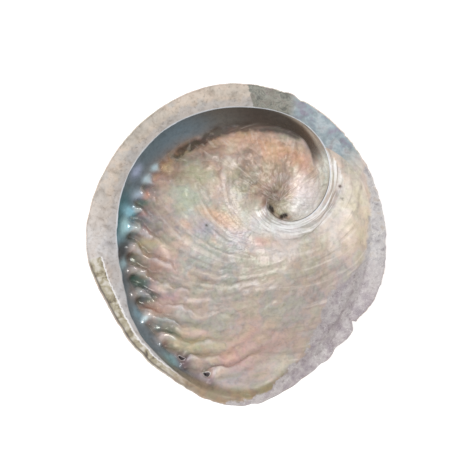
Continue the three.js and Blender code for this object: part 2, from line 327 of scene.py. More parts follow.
def along_curve(points, spacing, least=4):
    """Points about one spacing apart along a smooth curve, and the curve's length."""
    points = np.array(points, float)
    padded = np.vstack([points[:1], points, points[-1:]])
    t = np.linspace(0, 1, 20, endpoint=False)[:, None]
    pieces = []
    for a, b, c, d in zip(padded, padded[1:], padded[2:], padded[3:]):
        bend = (c - a) * t + (2 * a - 5 * b + 4 * c - d) * t ** 2 + (3 * b - a - 3 * c + d) * t ** 3
        pieces.append(b + 0.5 * bend)
    line = np.vstack([*pieces, points[-1:]])
    length = np.concatenate([[0], np.cumsum(np.hypot(*np.diff(line, axis=0).T))])
    columns = max(least, round(length[-1] / spacing))
    at = np.linspace(0, length[-1], columns + 1)
    return np.column_stack([np.interp(at, length, line[:, k]) for k in (0, 1)]), length[-1]


def growth_steps():
    """Growth angles of one turn, closer together along the pores, where the relief is fine."""
    angles = [float(JOINT_GROWTH)]
    while angles[-1] < LAST_GROWTH:
        fine = smooth(angles[-1], 120, 150) * (1 - smooth(angles[-1], 252, 275))
        fine = max(fine, smooth(angles[-1], 292, 296) * (1 - smooth(angles[-1], 305, 309)))
        angles.append(angles[-1] + mix(1.2, 0.56, fine))
    angles = np.array(angles)
    return JOINT_GROWTH + (angles - JOINT_GROWTH) * TURN / (angles[-1] - JOINT_GROWTH)


BOWL, MARGIN, OUTER_RIM, BACK = range(4)
SPACING = {BOWL: 0.85, MARGIN: 0.65, OUTER_RIM: 0.5, BACK: 1.2}

# Every row has its own corners, which carry its growth, place and strip. A corner that two strips
# or two turns share is welded to one vertex, so the skin closes on itself.
corners = {name: [] for name in ("growth", "share", "length", "strip", "radius", "height", "vertex")}
vertex_count = 0


def add_row(strip, growth, section, first=None, last=None):
    """Lay out one row and return its corner numbers."""
    global vertex_count
    points, length = section if len(section) == 2 else (section, 0)
    count = len(points)
    start = len(corners["growth"])
    vertices = list(range(vertex_count, vertex_count + count))
    if first is not None:
        vertices = [corners["vertex"][first]] + [v - 1 for v in vertices[1:]]
    if last is not None:
        vertices[-1] = corners["vertex"][last]
    vertex_count += count - (first is not None) - (last is not None)
    share = np.linspace(0, 1, count) if count > 1 else np.zeros(1)
    corners["growth"] += [growth] * count
    corners["share"] += list(share)
    corners["length"] += [length] * count
    corners["strip"] += [strip] * count
    corners["radius"] += [p[0] for p in points]
    corners["height"] += [p[1] for p in points]
    corners["vertex"] += vertices
    return list(range(start, start + count))


turn = growth_steps()
growths = np.concatenate([turn[:-1] - TURN, turn])
per_turn = len(turn) - 1
inside_apex = add_row(BOWL, FIRST_GROWTH, ([EDGE(FIRST_GROWTH)], 0))
outside_apex = add_row(BACK, FIRST_GROWTH, ([SUTURE(FIRST_GROWTH)], 0))
rows = {BOWL: [inside_apex], MARGIN: [], OUTER_RIM: [], BACK: [outside_apex]}
for index in range(1, 2 * per_turn):
    growth = growths[index]
    before = index - per_turn
    fold = rows[BOWL][before][-1] if before > 0 else inside_apex[0]
    suture = rows[BACK][before][0] if before > 0 else outside_apex[0]
    section = along_curve(bowl_section(growth), SPACING[BOWL])
    rows[BOWL].append(add_row(BOWL, growth, section, first=fold))
    keel = None
    if before >= 0:
        section = along_curve(margin_section(growth), SPACING[MARGIN])
        rows[MARGIN].append(add_row(MARGIN, growth, section, first=rows[BOWL][-1][-1]))
        section = along_curve(rim_section(growth), SPACING[OUTER_RIM])
        rows[OUTER_RIM].append(add_row(OUTER_RIM, growth, section, first=rows[MARGIN][-1][-1]))
        keel = rows[OUTER_RIM][-1][-1]
    section = along_curve(back_section(growth), SPACING[BACK])
    rows[BACK].append(add_row(BACK, growth, section, first=keel, last=suture))


def closing_row(strip, source):
    """The last row of a strip, at the end of the outer turn, welded to the row that it meets."""
    numbers = []
    for corner in source:
        for name in corners:
            corners[name].append(corners[name][corner])
        corners["growth"][-1] = float(LAST_GROWTH)
        corners["strip"][-1] = strip
        numbers.append(len(corners["growth"]) - 1)
    return numbers


rows[BOWL].append(closing_row(BOWL, rows[BOWL][per_turn][-1:]))
rows[BACK].append(closing_row(BACK, rows[BACK][per_turn][:1]))
rows[MARGIN].append(closing_row(MARGIN, rows[MARGIN][0]))
rows[OUTER_RIM].append(closing_row(OUTER_RIM, rows[OUTER_RIM][0]))


def join_rows(row, after):
    """Triangles between two neighbouring rows, which may have different numbers of corners."""
    made = []
    i = j = 0
    last_i, last_j = len(row) - 1, len(after) - 1
    while i < last_i or j < last_j:
        row_share = (i + 1) / max(last_i, 1)
        after_share = (j + 1) / max(last_j, 1)
        if j == last_j or (i < last_i and row_share <= after_share):
            made.append((row[i], row[i + 1], after[j]))
            i += 1
        else:
            made.append((row[i], after[j + 1], after[j]))
            j += 1
    return made


triangles = np.array([
    triangle
    for strip in rows
    for row, after in zip(rows[strip], rows[strip][1:])
    for triangle in join_rows(row, after)
])
corners = {name: np.array(values) for name, values in corners.items()}
faces = corners["vertex"][triangles]
real = (faces[:, 0] != faces[:, 1]) & (faces[:, 1] != faces[:, 2]) & (faces[:, 2] != faces[:, 0])
triangles, faces = triangles[real], faces[real]
owner = np.full(vertex_count, -1)
owner[corners["vertex"][::-1]] = np.arange(len(corners["vertex"]))[::-1]

growth, share, length, strip, radius, height = (
    corners[name][owner] for name in ("growth", "share", "length", "strip", "radius", "height")
)
height = np.maximum(height, REST_HEIGHT)
angle = np.radians(growth)
points = np.column_stack([radius * np.cos(angle), radius * np.sin(angle), height])
is_bowl, is_margin, is_rim, is_back = (strip == s for s in (BOWL, MARGIN, OUTER_RIM, BACK))
outer_turn = growth >= JOINT_GROWTH


def normals_of(points):
    a, b, c = (points[faces[:, k]] for k in range(3))
    cross = np.cross(b - a, c - a)
    total = np.zeros_like(points)
    for k in range(3):
        np.add.at(total, faces[:, k], cross)
    return total / np.maximum(np.linalg.norm(total, axis=1), 1e-12)[:, None]


# -------------------------------------------------- Shell: places that relief and colour use
# Distances in millimetres on the shell, worked out once for every vertex.
x, y = points[:, 0], points[:, 1]
log_radius = np.log(np.maximum(radius, 1))
pore_radius, pore_height = SHOULDER(growth).T
rim_radius = rim_at(growth)[:, 0]
inward = pore_radius - radius  # from the pores towards the apex
# From the nearest shelf edge or fold: below 0 under it, above 0 outside it
from_fold = share * length
from_edge = np.where(is_margin, share * length, -(1 - share) * length)
starts_on_fold = is_bowl & outer_turn & (from_fold < (1 - share) * length)
from_edge = np.where(starts_on_fold, from_fold, from_edge)
# The fold has died away round the apex itself
fold_growth = np.where(starts_on_fold, growth - TURN, growth)
from_edge += is_bowl * np.where(starts_on_fold, 6, -6) * (1 - smooth(fold_growth, -190, -150))
from_edge = np.where(is_rim | is_back, 40.0, from_edge)
from_rim = np.where(is_margin, (1 - share) * length, np.where(is_rim | is_back, -share * length, 40))
wall = is_bowl * smooth(height - pore_height, 0.3, 2.6) * smooth(radius - pore_radius, -2.5, -0.5)
wall = wall * (1 - smooth(growth, 236, 256)) * smooth(growth, 38, 66)


def cloud_at(u, v, w=0.0, octaves=3):
    """Soft noise from about -1 to 1 at every vertex, with lumps about 1 across in u, v and w."""
    places = np.broadcast_arrays(u, v, w)
    return np.array([noise.fractal(place, 0.7, 2.0, octaves) for place in zip(*places)])


def cloud(grain, seed, octaves=3):
    """The same in space, with lumps about one grain across."""
    return cloud_at(*(points.T / grain + np.array([[17.1], [9.7], [5.3]]) * seed), octaves)


def creases(grain, seed, octaves=3):
    """Noise with sharp crests, as in crumpled foil, from 0 in the hollows to 1 on the crests."""
    return 1 - np.clip(np.abs(cloud(grain, seed, octaves)) * 2.2, 0, 1)


def spot(at_x, at_y, size, stretch=1.0, turned=0.0):
    """A soft round or long patch around a place, 1 in the middle. Turned is in degrees."""
    a = math.radians(turned)
    dx, dy = x - at_x, y - at_y
    along = (dx * math.cos(a) + dy * math.sin(a)) / stretch
    across = dy * math.cos(a) - dx * math.sin(a)
    return np.exp(-(along ** 2 + across ** 2) / size ** 2)


def stroke(width, places):
    """A soft line through some places, 1 along its middle."""
    nearest = np.full(len(points), 1e9)
    for (ax, ay), (bx, by) in zip(places, places[1:]):
        run = np.array([bx - ax, by - ay], float)
        t = np.clip(((x - ax) * run[0] + (y - ay) * run[1]) / (run @ run), 0, 1)
        nearest = np.minimum(nearest, np.hypot(x - ax - run[0] * t, y - ay - run[1] * t))
    return np.exp(-(nearest / width) ** 2)


# ------------------------------------------------------------------- Shell: relief of the bowl
# Each closed pore is a pearly bump at the foot of the wall. A swelling runs on from it into the
# bowl and dies away, bent round towards the lip the more, the newer the pore is.
NEWEST_PORE = 247.0
PORE_STEP, PORE_STEP_LESS = 9.2, 0.16
PORES = [NEWEST_PORE - PORE_STEP * k + PORE_STEP_LESS * k * k for k in range(17)]
OPEN_PORES = 2
SWELLING_BEND = table([  # growth, degrees of turn for each millimetre inwards
    [-310, 0], [150, 0], [168, 0.15], [184, 0.45], [200, 0.65], [215, 0.8], [232, 1.05], [260, 1.2],
    [410, 1.2],
])


def pore_number(growth):
    """0 at the newest pore, 1 at the one before it and so on, also between pores."""
    under = PORE_STEP ** 2 - 4 * PORE_STEP_LESS * (NEWEST_PORE - growth)
    return (PORE_STEP - np.sqrt(np.maximum(under, 0.3))) / (2 * PORE_STEP_LESS)


lumpy = cloud(10, 1)
fine_lumpy = cloud(4, 2)
bend = SWELLING_BEND(growth)[:, 0]
swelling_growth = growth - bend * np.maximum(inward, 0) + 2.0 * lumpy
crest = np.cos(2 * np.pi * pore_number(swelling_growth))
runs_in = mix(14, 36, smooth(growth, 172, 196)) * mix(1, 0.6, smooth(growth, 222, 240))
reach = smooth(inward, -4, 2) * (1 - smooth(inward, 0.2 * runs_in, runs_in))
row_strength = smooth(swelling_growth, 150, 190) * (1 - smooth(swelling_growth, 240, 256))
lower_row = smooth(growth, 186, 200)
swell = is_bowl * outer_turn * crest * reach * row_strength * (0.8 + 0.6 * lumpy)
relief = mix(1.2, 1.5, lower_row) * swell

pore_field = np.zeros(len(points))
hollow_field = np.zeros(len(points))
for number, pore in enumerate(PORES):
    at_radius, at_height = SHOULDER(pore)
    at = np.radians(pore)
    place = np.array([at_radius * math.cos(at), at_radius * math.sin(at)])
    out = place / np.linalg.norm(place)
    dx, dy = (points[:, :2] - place).T
    outwards = dx * out[0] + dy * out[1]
    sideways = dy * out[0] - dx * out[1]
    wide = mix(2.4, 3.3, pore > 190)
    near = is_bowl * np.exp(-((outwards - 0.3) / wide) ** 2 - (sideways / (0.85 * wide)) ** 2)
    fade = 1 - 0.04 * number
    if number < OPEN_PORES:
        ring = np.exp(-((np.hypot(outwards + 1.1, sideways) - 3.4) / 1.3) ** 2)
        pit = np.exp(-(np.hypot(outwards + 1.1, sideways) / 2.3) ** 2)
        relief += is_bowl * (1.2 * ring - 1.6 * pit)
    else:
        relief += mix(1.5, 2.3, pore > 190) * fade * near
    behind = is_bowl * np.exp(-((outwards - 1.8) / 1.7) ** 2 - ((sideways - 3.6) / 1.6) ** 2)
    relief -= 1.1 * fade * behind
    pore_field = np.maximum(pore_field, near)
    hollow_field = np.maximum(hollow_field, behind)

# The muscle scar round the first whorl is crumpled like foil, and folds run down to the apex.
scar = is_bowl * (1 - smooth(growth, 150, 196)) * smooth(inward, -1, 4)
scar = np.where(outer_turn, scar * (1 - smooth(growth, 130, 190) * smooth(inward, 18, 40)), is_bowl)
scar = scar * smooth(np.abs(from_edge), 0.5, 5)
crumple = creases(9, 3)
fine_crumple = creases(4, 4, 2)
rough_part = smooth(cloud(14, 21), -0.3, 0.3)
rays = cloud_at(angle * 4.5 + 0.7 * lumpy, radius / 13, 3)
relief += scar * (0.8 * (crumple - 0.5) + 0.5 * rough_part * (fine_crumple - 0.5))
relief += scar * 0.35 * rays * smooth(radius, 3, 8) * (1 - smooth(radius, 20, 36))

# Elsewhere the nacre is gently uneven, with shallow lines that run out from beside the fold and
# swing round to meet the pores, and on the lip's side run along with the lip.
SWEEP_OPENING = 0.7
SWEEP_CURL = 50  # millimetres, how tightly the lines curl beside the fold
LEAST_RADIUS = 9  # millimetres, inside which the curl stays the same
# The same all along such a line
sweep = angle + SWEEP_OPENING * log_radius - SWEEP_CURL / np.maximum(radius, LEAST_RADIUS)
sweep_noise = cloud_at(sweep * 5.5 + 0.35 * lumpy, angle * 1.6, 0, 3)
growth_noise = cloud_at(from_fold / 4.5, growth / 30, 7, 4)
line_noise = cloud_at(from_fold / 1.7, growth / 26, 9)
in_sweep = is_bowl * outer_turn * smooth(growth, 120, 165) * (1 - smooth(growth, 240, 290))
in_sweep = in_sweep * smooth(from_fold, 3, 10)
in_growth = is_bowl * outer_turn * smooth(growth, 170, 200) * (1 - in_sweep)
# Where the layers are worn through, their edges stand as low steps, like contour lines
layers = 3.0 * cloud(14, 31, 3) + 0.9 * sweep_noise
layer = np.floor(layers)
layered = is_bowl * outer_turn * smooth(inward, 6, 14) * smooth(from_fold, 3, 12)
relief += layered * 0.2 * (layer + smooth(layers - layer, 0, 0.2))
relief += in_sweep * 0.36 * sweep_noise * smooth(radius, 12, 30) + in_growth * 0.3 * growth_noise
relief += is_bowl * (1 - wall) * (0.5 * lumpy + 0.1 * fine_lumpy) * smooth(np.abs(from_edge), 0, 6)

# ------------------------------------------------- Shell: relief of the shelf, rim and back
# The shelf is worn nearly flat. Outside, the shell is corrugated where it grew, threaded along
# its turns and crusted, with a low tube at each of the last pores.
patch = is_margin * smooth(growth, 52, 60) * (1 - smooth(growth, 104, 107))
relief += is_margin * 0.22 * cloud(6, 5)
relief += patch * 0.4 * creases(3.4, 6) * smooth(from_rim, 2, 5)
worn_fold = is_margin * smooth(growth, 196, 206) * (1 - smooth(growth, 232, 244))
relief -= worn_fold * 0.7 * smooth(mix(6.5, 2.5, smooth(growth, 200, 235)) - from_rim, -0.4, 0.4)

back_across = share * length
corrugation = np.sin(2 * np.pi * (growth / 7.5 + back_across / 34) + 2.5 * cloud(14, 7))
threads = np.cos(2 * np.pi * back_across / 2.6 + 2 * lumpy)
growth_ridges = cloud_at(growth / 1.9, 0.7, back_across / 60)
crust = smooth(cloud(11, 8), 0.12, 0.42)
ends = smooth(back_across, 0, 3) * np.where(outer_turn, smooth((1 - share) * length, 0, 5), 1)
size = np.clip(rim_radius / 60, 0.4, 1.4)
relief += is_back * ends * size * (0.65 * corrugation + 0.16 * threads + 0.45 * growth_ridges)
relief += is_back * ends * (0.5 * crust * (1 + fine_lumpy) + 0.25 * fine_lumpy)
for number, pore in enumerate(PORES[:12]):
    at_radius, at_height = SHOULDER(pore)
    at = np.radians(pore)
    place = np.array([math.cos(at), math.sin(at)]) * (at_radius + 3.6)
    distance = np.hypot(*(points[:, :2] - place).T)
    tube = np.exp(-((distance - 2.2) / 1.5) ** 2) + 0.6 * np.exp(-(distance / 3) ** 2)
    tube = tube - (1.1 if number >= OPEN_PORES else 0) * np.exp(-(distance / 1.5) ** 2)
    relief += is_back * (height < -3) * tube * mix(2.2, 0.5, number / 12)

moved = points + normals_of(points) * relief[:, None]

# The rim is ragged: small waves all round, one deep nick and two shallow dents in the lip.
rim_share = smooth(radius / rim_radius, 0.86, 0.99) * (is_margin | is_rim | (is_back & (share < 0.3)))
rim_wave = cloud_at((growth % TURN) / 5, 3.1, 0, 4)


def dent(at, width):
    return np.exp(-(((growth - at + 180) % TURN - 180) / width) ** 2)


radial = 0.6 * rim_wave * mix(0.5, 1, smooth(growth, 200, 240)) - 2.8 * dent(300.6, 0.7)
radial += -1.0 * dent(303.5, 2.2) - 1.1 * dent(290.5, 2.0) + 0.9 * dent(296.5, 2.2) - 0.5 * dent(283, 1.6)
radial += 0.9 * dent(84, 2.5) - 0.5 * dent(79, 1.5)
push = (radial * rim_share)[:, None] * np.column_stack([np.cos(angle), np.sin(angle)])
moved[:, :2] += push
moved[:, 2] = np.maximum(moved[:, 2], REST_HEIGHT)

# ------------------------------------------------------------------- Shell: colour of the nacre
# Nacre has no colour of its own: thin layers give it pink, green and lilac in broad soft patches. These are
# laid on as washes at each vertex, along with painted light and shade, and the material breaks them up
# further.
tint = np.tile(linear("#c3b6a8")[:3], (len(points), 1))


def wash(colour, amount):
    """Lay a colour over the tint, as strongly as amount says at each vertex."""
    global tint
    amount = np.clip(amount, 0, 1)[:, None]
    tint = tint + (np.array(linear(colour)[:3]) - tint) * amount


hue_a, hue_b, hue_c = cloud(13, 11), cloud(10, 12), cloud(9, 13)
open_bowl = is_bowl * (1 - wall)
wash("#b3b5a6", open_bowl * smooth(hue_a, 0.0, 0.4) * 0.8)
wash("#d3b5a7", open_bowl * smooth(hue_b, 0.05, 0.4) * 0.8)
wash("#aaa2a8", open_bowl * smooth(hue_c, 0.1, 0.4) * 0.6)

LAYER_COLOURS = ["#b4bda6", "#dcc0ae", "#b5b0bd", "#d3c9ae", "#bfcbc6"]
for number, layer_colour in enumerate(LAYER_COLOURS):
    wash(layer_colour, layered * (layer % len(LAYER_COLOURS) == number) * 0.4)

# The scar: warm brown with olive patches, painted shade in the hollows of its crumples and of the folds that
# run to the apex, and a painted highlight, peach and cream, where the light catches their crests
wash("#cbb19a", scar * 0.8)
wash("#8f765f", scar * smooth(crumple, 0.6, 0.1) * 0.75)
wash("#9a8467", scar * smooth(rays, 0.0, -0.4) * (1 - smooth(radius, 20, 36)) * 0.5)
wash("#a3a184", scar * smooth(hue_a, 0.0, 0.4) * 0.6)
wash("#efd8c6", scar * smooth(crumple + 0.5 * fine_crumple, 0.95, 1.35) * 0.75)
wash("#ead6c8", scar * smooth(rays, 0.25, 0.5) * (1 - smooth(radius, 20, 36)) * 0.5)

lip_side = is_bowl * outer_turn * smooth(growth, 300, 340)
wash("#d9c8b4", lip_side * 0.8)
# Painted shade: the lower part of the bowl, away from the fold, greyer and darker
painted_lower_shade = is_bowl * outer_turn * smooth(growth, 205, 235) * (1 - smooth(growth, 300, 330))
wash("#a99c8f", painted_lower_shade * smooth(from_fold, 20, 40) * 0.7)
ridge_width = 12 + 5 * growth_noise
ridge = is_bowl * outer_turn * smooth(growth, 190, 225)
ridge = ridge * (1 - smooth(from_edge, 0.4 * ridge_width, ridge_width))
wash("#d3d0cc", ridge * (from_edge > 0) * 0.7)
wash("#f4f4f2", ridge * (from_edge > 0) * smooth(line_noise, 0.02, 0.3) * 0.8)
wash("#a59c94", ridge * (from_edge > 0) * smooth(line_noise, -0.15, -0.45) * 0.5)
flow_light = in_sweep * smooth(sweep_noise, 0.18, 0.42) * (1 - smooth(inward, 26, 8))
wash("#e2dace", flow_light * 0.55)
wash("#8f8a80", in_sweep * smooth(sweep_noise, -0.2, -0.5) * 0.4)
wash("#e6dccb", lip_side * smooth(growth_noise, 0.2, 0.5) * 0.5)
wash("#b9a78f", lip_side * smooth(growth_noise, -0.1, -0.5) * 0.5)

# Painted light: the inner whorl right of the apex washed near white, lifting it out of its own shade
whorl_painted_light = is_bowl * (~outer_turn | (growth < 72))
wash("#fff4ec", whorl_painted_light * smooth(x, 4, 12) * (1 - smooth(y, 16, 26)) * 0.9)
# A pale crescent inside the edge right of the apex: the nacre's own pale tone, with a painted highlight
# where that slope catches the light
pale_lit_crescent = is_bowl * (from_edge < 0) * smooth(from_edge, -22, -11) * smooth(growth, -60, -10)
pale_lit_crescent = pale_lit_crescent * (1 - smooth(growth, 44, 66))
wash("#f2f7ec", pale_lit_crescent)

# The wall under the shelf: blue-grey nacre, teal in a stretch on the left, painted darker as the shade of
# the overhanging shelf. Painted shade makes it greyer at the top, the side turned from the light, and
# darkest low under the edge there; it is paler just under the edge where it begins.
wash("#667c88", wall * 0.97)
wash("#357a84", wall * smooth(growth, 172, 182) * (1 - smooth(growth, 192, 202)) * 0.9)
wash("#63605a", wall * (1 - smooth(growth, 124, 146)))
wash("#463d37", wall * (1 - smooth(growth, 104, 126)) * smooth(-from_edge, 7, 12) * 0.9)
wash("#d9d4c8", wall * (1 - smooth(growth, 76, 112)) * (1 - smooth(-from_edge, 7, 13)) * 0.8)

# The row of closed pores: brown and copper at its old end, then blue, with pinkish brown swellings. Painted
# highlights lie on the swellings' crests and, pale blue, on the older bumps; painted shade lies in the
# valleys between, dark teal near the wall, and near black in the hollow behind each bump.
belt = is_bowl * outer_turn * np.exp(-((inward - 1.5) / 5) ** 2) * smooth(growth, 118, 135)
belt = belt * (1 - smooth(growth, 225, 245))
wash("#998579", belt * 0.6)
wash("#927660", belt * smooth(growth, 135, 150) * (1 - smooth(growth, 162, 172)) * 0.8)
wash("#586c7e", belt * smooth(growth, 164, 172) * (1 - smooth(growth, 192, 200)) * smooth(-inward, -4, 0))
flank = is_bowl * outer_turn * reach * row_strength * lower_row
wash("#b39c90", flank * smooth(crest, 0.0, 0.7) * smooth(inward, 0, 5) * 0.75)
crest_highlight = smooth(crest, 0.75, 1.0) * smooth(inward, 4, 12) * smooth(fine_lumpy, -0.1, 0.3)
wash("#ead2c4", flank * crest_highlight * 0.6)
wash("#2d5650", flank * smooth(-crest, -0.1, 0.7) * smooth(inward, 14, 4) * 0.9)
wash("#8c7d72", flank * smooth(-crest, 0.2, 0.9) * smooth(inward, 5, 14) * 0.5)
wash("#141f22", hollow_field * smooth(growth, 166, 180) * 0.95)
wash("#dff0f8", pore_field * smooth(growth, 164, 172) * (1 - smooth(growth, 191, 197)) * 0.85)
wash("#d9bfae", pore_field * smooth(growth, 193, 198) * (1 - smooth(growth, 226, 234)) * 0.7)

SPOTS = [  # x, y from the apex, size, how long, which way it lies, colour, strength
    # Copper lumps at the old end of the row, and the peach rim of the scar
    (-50, 17, 8, 1.7, 38, "#8a715e", 0.7), (-28, 23, 7, 1.5, 0, "#a68d75", 0.55),
    (-60, 11, 2, 1.8, 25, "#d9ae90", 0.9), (-54.5, 16.5, 2.2, 1.6, 15, "#cfb48f", 0.9),
    (-49.5, 21.5, 2.4, 2, 25, "#d6bd94", 0.9), (-43, 25, 1.6, 2.8, 28, "#dcc8a4", 0.9),
    (-31, 31, 1.8, 2.4, 15, "#eccdaa", 0.9), (-57, 8, 3, 1.4, -40, "#c7968a", 0.8),
    (-47, 16, 5, 1.5, 35, "#8d7260", 0.7), (-38, 23, 4, 2.2, 30, "#9c7f6c", 0.6),
    (-20, 31, 4, 2.0, 0, "#e3b594", 0.7), (-7, 27, 5, 1.8, -35, "#dcae8c", 0.75),
    (5, 23, 4, 2.2, -25, "#dfae8c", 0.8), (13, 18, 3.5, 2.0, -55, "#dba888", 0.8),
    (-24, 22, 4, 2.5, 80, "#e6cfc0", 0.5), (-14, 20, 3, 2.5, 75, "#96806c", 0.5),
    # Round the apex: the near-white patches below and right of it are painted light, lifting slopes that lie
    # in shade, and the darkest patch is painted shade in the hollow at the apex
    (0, 11, 8, 1.2, 0, "#a38e7c", 0.8), (-15, 11, 5, 1.4, 60, "#9c9070", 0.6),
    (-4.5, 7.5, 2, 1.4, 60, "#efdccf", 0.7), (10, 9, 4, 1.2, 40, "#ffe9de", 0.6),
    (14.5, 1.5, 5, 1.2, 70, "#fdf2f2", 0.8), (4.5, -4, 3.5, 1.3, 20, "#ddd6b8", 0.6),
    (-8, 2, 4, 1.2, 0, "#b09c88", 0.6), (-12, -4, 3, 1.8, -45, "#b3a49a", 0.6),
    (-12, -10, 5, 2.4, -40, "#ece9e6", 0.6), (4, -15.5, 3.5, 3, 5, "#eeecec", 0.7),
    (17, -9, 3, 2.2, 50, "#efeeea", 0.6), (-2, -22, 5, 2, 0, "#dcd6d0", 0.5),
    (38, -3, 6, 2.5, 85, "#f2e4cc", 0.8), (-3.5, 1.5, 5, 1.3, 30, "#7d6b5b", 0.85),
    (-1, -14, 4, 2.6, 0, "#fafafa", 0.7), (11, -3, 5, 1.2, 0, "#ffffff", 0.6),
    (24, -13, 6, 1.6, 60, "#f4eee6", 0.6), (4, -25, 6, 2.4, 5, "#efe6dd", 0.7),
    (-4, -20, 5.5, 2.4, -8, "#e6e1dc", 0.5),
    (-15, -19, 5, 2, -20, "#dfdcd9", 0.4),
    (24, 2, 4, 2.4, 80, "#a3978b", 0.6), (36, 19, 5, 1.6, -60, "#a39c98", 0.6),
    (-2, -79, 6, 1.4, 30, "#dccfc2", 0.6),
    # The middle of the bowl
    (-45.5, 2.5, 7, 1.3, -10, "#bdc2ac", 0.85), (-40, 14, 5, 1.6, -35, "#aeb696", 0.7),
    (-33, -7, 3.5, 1.8, -20, "#e2bd96", 0.8), (-25, -11, 3.5, 2, -25, "#e4b898", 0.7),
    (-47, -11, 2.2, 1.8, -45, "#e8c2a6", 0.8), (-37, -13, 4, 1.6, -10, "#a5a2ae", 0.8),
    (-21, -18, 5, 1.5, 0, "#c3bcc0", 0.7), (-8, -20, 3, 2.0, -5, "#e0b09a", 0.7),
    (-28, 6, 4, 2.2, -35, "#e0cbbd", 0.6), (-18, -1, 3, 2.6, -35, "#c6c4b2", 0.7),
    (-57, -10, 6, 1.4, 70, "#a3958a", 0.8), (-30, -31, 8, 1.5, -10, "#aeafa6", 0.7),
    (-10, -34, 8, 1.5, 20, "#a9a69c", 0.5), (15, -30, 8, 1.8, 55, "#b5a58f", 0.6),
    # Beside and between the bumps of the lower row: the near-black and dark teal patches are painted shade
    # in the hollows by the wall and between the bumps, and the pink-white ones are painted highlights
    (-69, -44, 7, 1.4, -35, "#454243", 0.8), (-67, -2, 6, 2.4, 82, "#6e6561", 0.6),
    (-54, -52, 7, 1.8, 0, "#a39487", 0.5), (-67, -58, 4, 1.6, -40, "#7d7f7d", 0.5),
    (-66.5, -1, 1.8, 1.6, 0, "#2c6b58", 0.95), (-66, 3, 1.6, 1.3, 30, "#dc9f84", 0.9),
    (-66.5, -6.5, 1.7, 1.4, -20, "#d59a8c", 0.9), (-66, -14, 1.8, 1.4, -20, "#d79c8c", 0.9),
    (-62, -6, 4, 1.6, 90, "#9b8d86", 0.8), (-67, -10, 3, 1.5, 90, "#8a8d95", 0.6),
    (-65, -21.5, 2.4, 2.6, 5, "#b5ae78", 0.85), (-60, -29, 6, 1.6, -25, "#b09082", 0.8),
    (-56.5, -25, 1.3, 3.4, -65, "#ecd3c4", 0.85), (-50, -22, 2, 3.5, -8, "#dcc2b2", 0.7),
    (-63, -35.5, 5, 1.5, -15, "#a98873", 0.8), (-67, -42.5, 3, 2.2, -10, "#877f88", 0.85),
    (-70, -39.5, 2.3, 3, -22, "#155048", 0.95), (-63.5, -46.5, 2.8, 1.8, 20, "#234a43", 0.9),
    (-59.5, -43.5, 1.5, 2.4, -25, "#f2d2c6", 0.9), (-54, -48.5, 3, 1.6, 0, "#d6b2b6", 0.8),
    (-44, -49.5, 1.1, 9, 2, "#e6d6cc", 0.7), (-62, -54, 2.6, 3, -12, "#c59a84", 0.8),
    (-56, -60, 4, 2.2, 8, "#869084", 0.7), (-76, -25, 1.5, 1.8, 110, "#120f0e", 0.95),
    (-75, -38, 1.4, 1.5, 60, "#231a1a", 0.9), (-75, -48.5, 1.9, 1.8, -35, "#0e1613", 0.95),
    (-74.5, -10, 1.2, 1.3, 40, "#0c1216", 0.95), (-75.5, -18, 1.3, 1.4, 10, "#1d262b", 0.9),
    (-67, -60, 2, 1.3, 20, "#b07c78", 0.85), (-61, -69.5, 2.8, 1.6, -10, "#a9837a", 0.85),
    (-43, -70, 6, 1.3, 0, "#b7b080", 0.8), (-31, -73, 5, 1.8, 15, "#bdb18e", 0.6),
    (-40, -65, 1.5, 4, 5, "#e0bcb0", 0.7), (-48, -78.5, 2.8, 1.9, -25, "#6f6067", 0.95),
    (-38, -88, 3, 1.4, 10, "#857a84", 0.85), (-52, -82, 3, 2, -35, "#7e9a9a", 0.7),
    # Towards the lip
    (-22, -78, 7, 2.0, 20, "#d3a698", 0.75), (-9, -68, 8, 1.5, 20, "#cba394", 0.6),
    (-22, -88, 6, 1.4, 10, "#b3aeae", 0.7), (-6, -92, 6, 1.6, 30, "#bdb09c", 0.6),
    (28, -42, 8, 1.8, 55, "#b3a5a2", 0.7), (12, -55, 8, 1.5, 50, "#b3a79e", 0.6),
    (30, -10, 3, 5, 80, "#e8ddd2", 0.5), (40, -12, 4, 4, 85, "#cbbda6", 0.4),
]
for at_x, at_y, spot_size, stretch, turned, colour, strength in SPOTS:
    shape = spot(at_x, at_y, spot_size * (1 + 0.25 * fine_lumpy), stretch, turned)
    wash(colour, open_bowl * np.minimum(1, 1.35 * shape) * strength)

# On the wall and at the open pores: painted highlights, pale blue, beside the older bumps; painted shade,
# dark teal to near black, lower down the wall; and the mauve grey of the two open pores
WALL_GLINTS_SHADE_AND_PITS = [  # blue lights on the wall beside the older bumps, in the same terms
    (-74, -5.5, 2.2, 1.6, -50, "#9fdcf0", 0.9), (-76.5, -12.5, 2.1, 2, 80, "#c4f2fa", 0.95),
    (-79.5, -18.5, 1.8, 1.8, 80, "#a2cade", 0.8), (-70, 14.5, 1.8, 1.9, 60, "#b6c4e4", 0.8),
    (-65, 11, 1.6, 1.6, 45, "#c9e0ea", 0.85), (-61.5, 16.5, 1.4, 1.7, 40, "#c0dae2", 0.85),
    (-70, 2.5, 2.2, 1.2, 0, "#b4c8da", 0.8), (-77, -31, 1.5, 1.9, 80, "#bfe4ee", 0.85),
    (-69, -56, 1.5, 2.6, -60, "#8fb6c4", 0.6), (-66, -58, 1.1, 1.3, 0, "#e4f8fc", 0.9),
    (-47.5, -77, 3.4, 1.7, -30, "#6d5d64", 0.95), (-38, -86.5, 3.2, 1.5, -25, "#857982", 0.9),
    (-53, -77, 1.8, 2.4, -50, "#86a9aa", 0.8), (-81, -12, 3.2, 2.6, 80, "#27727e", 0.8),
    (-78, -38, 2.6, 2.4, 88, "#50626c", 0.7), (-78, -25, 2.6, 1.7, 80, "#363a40", 0.8),
]
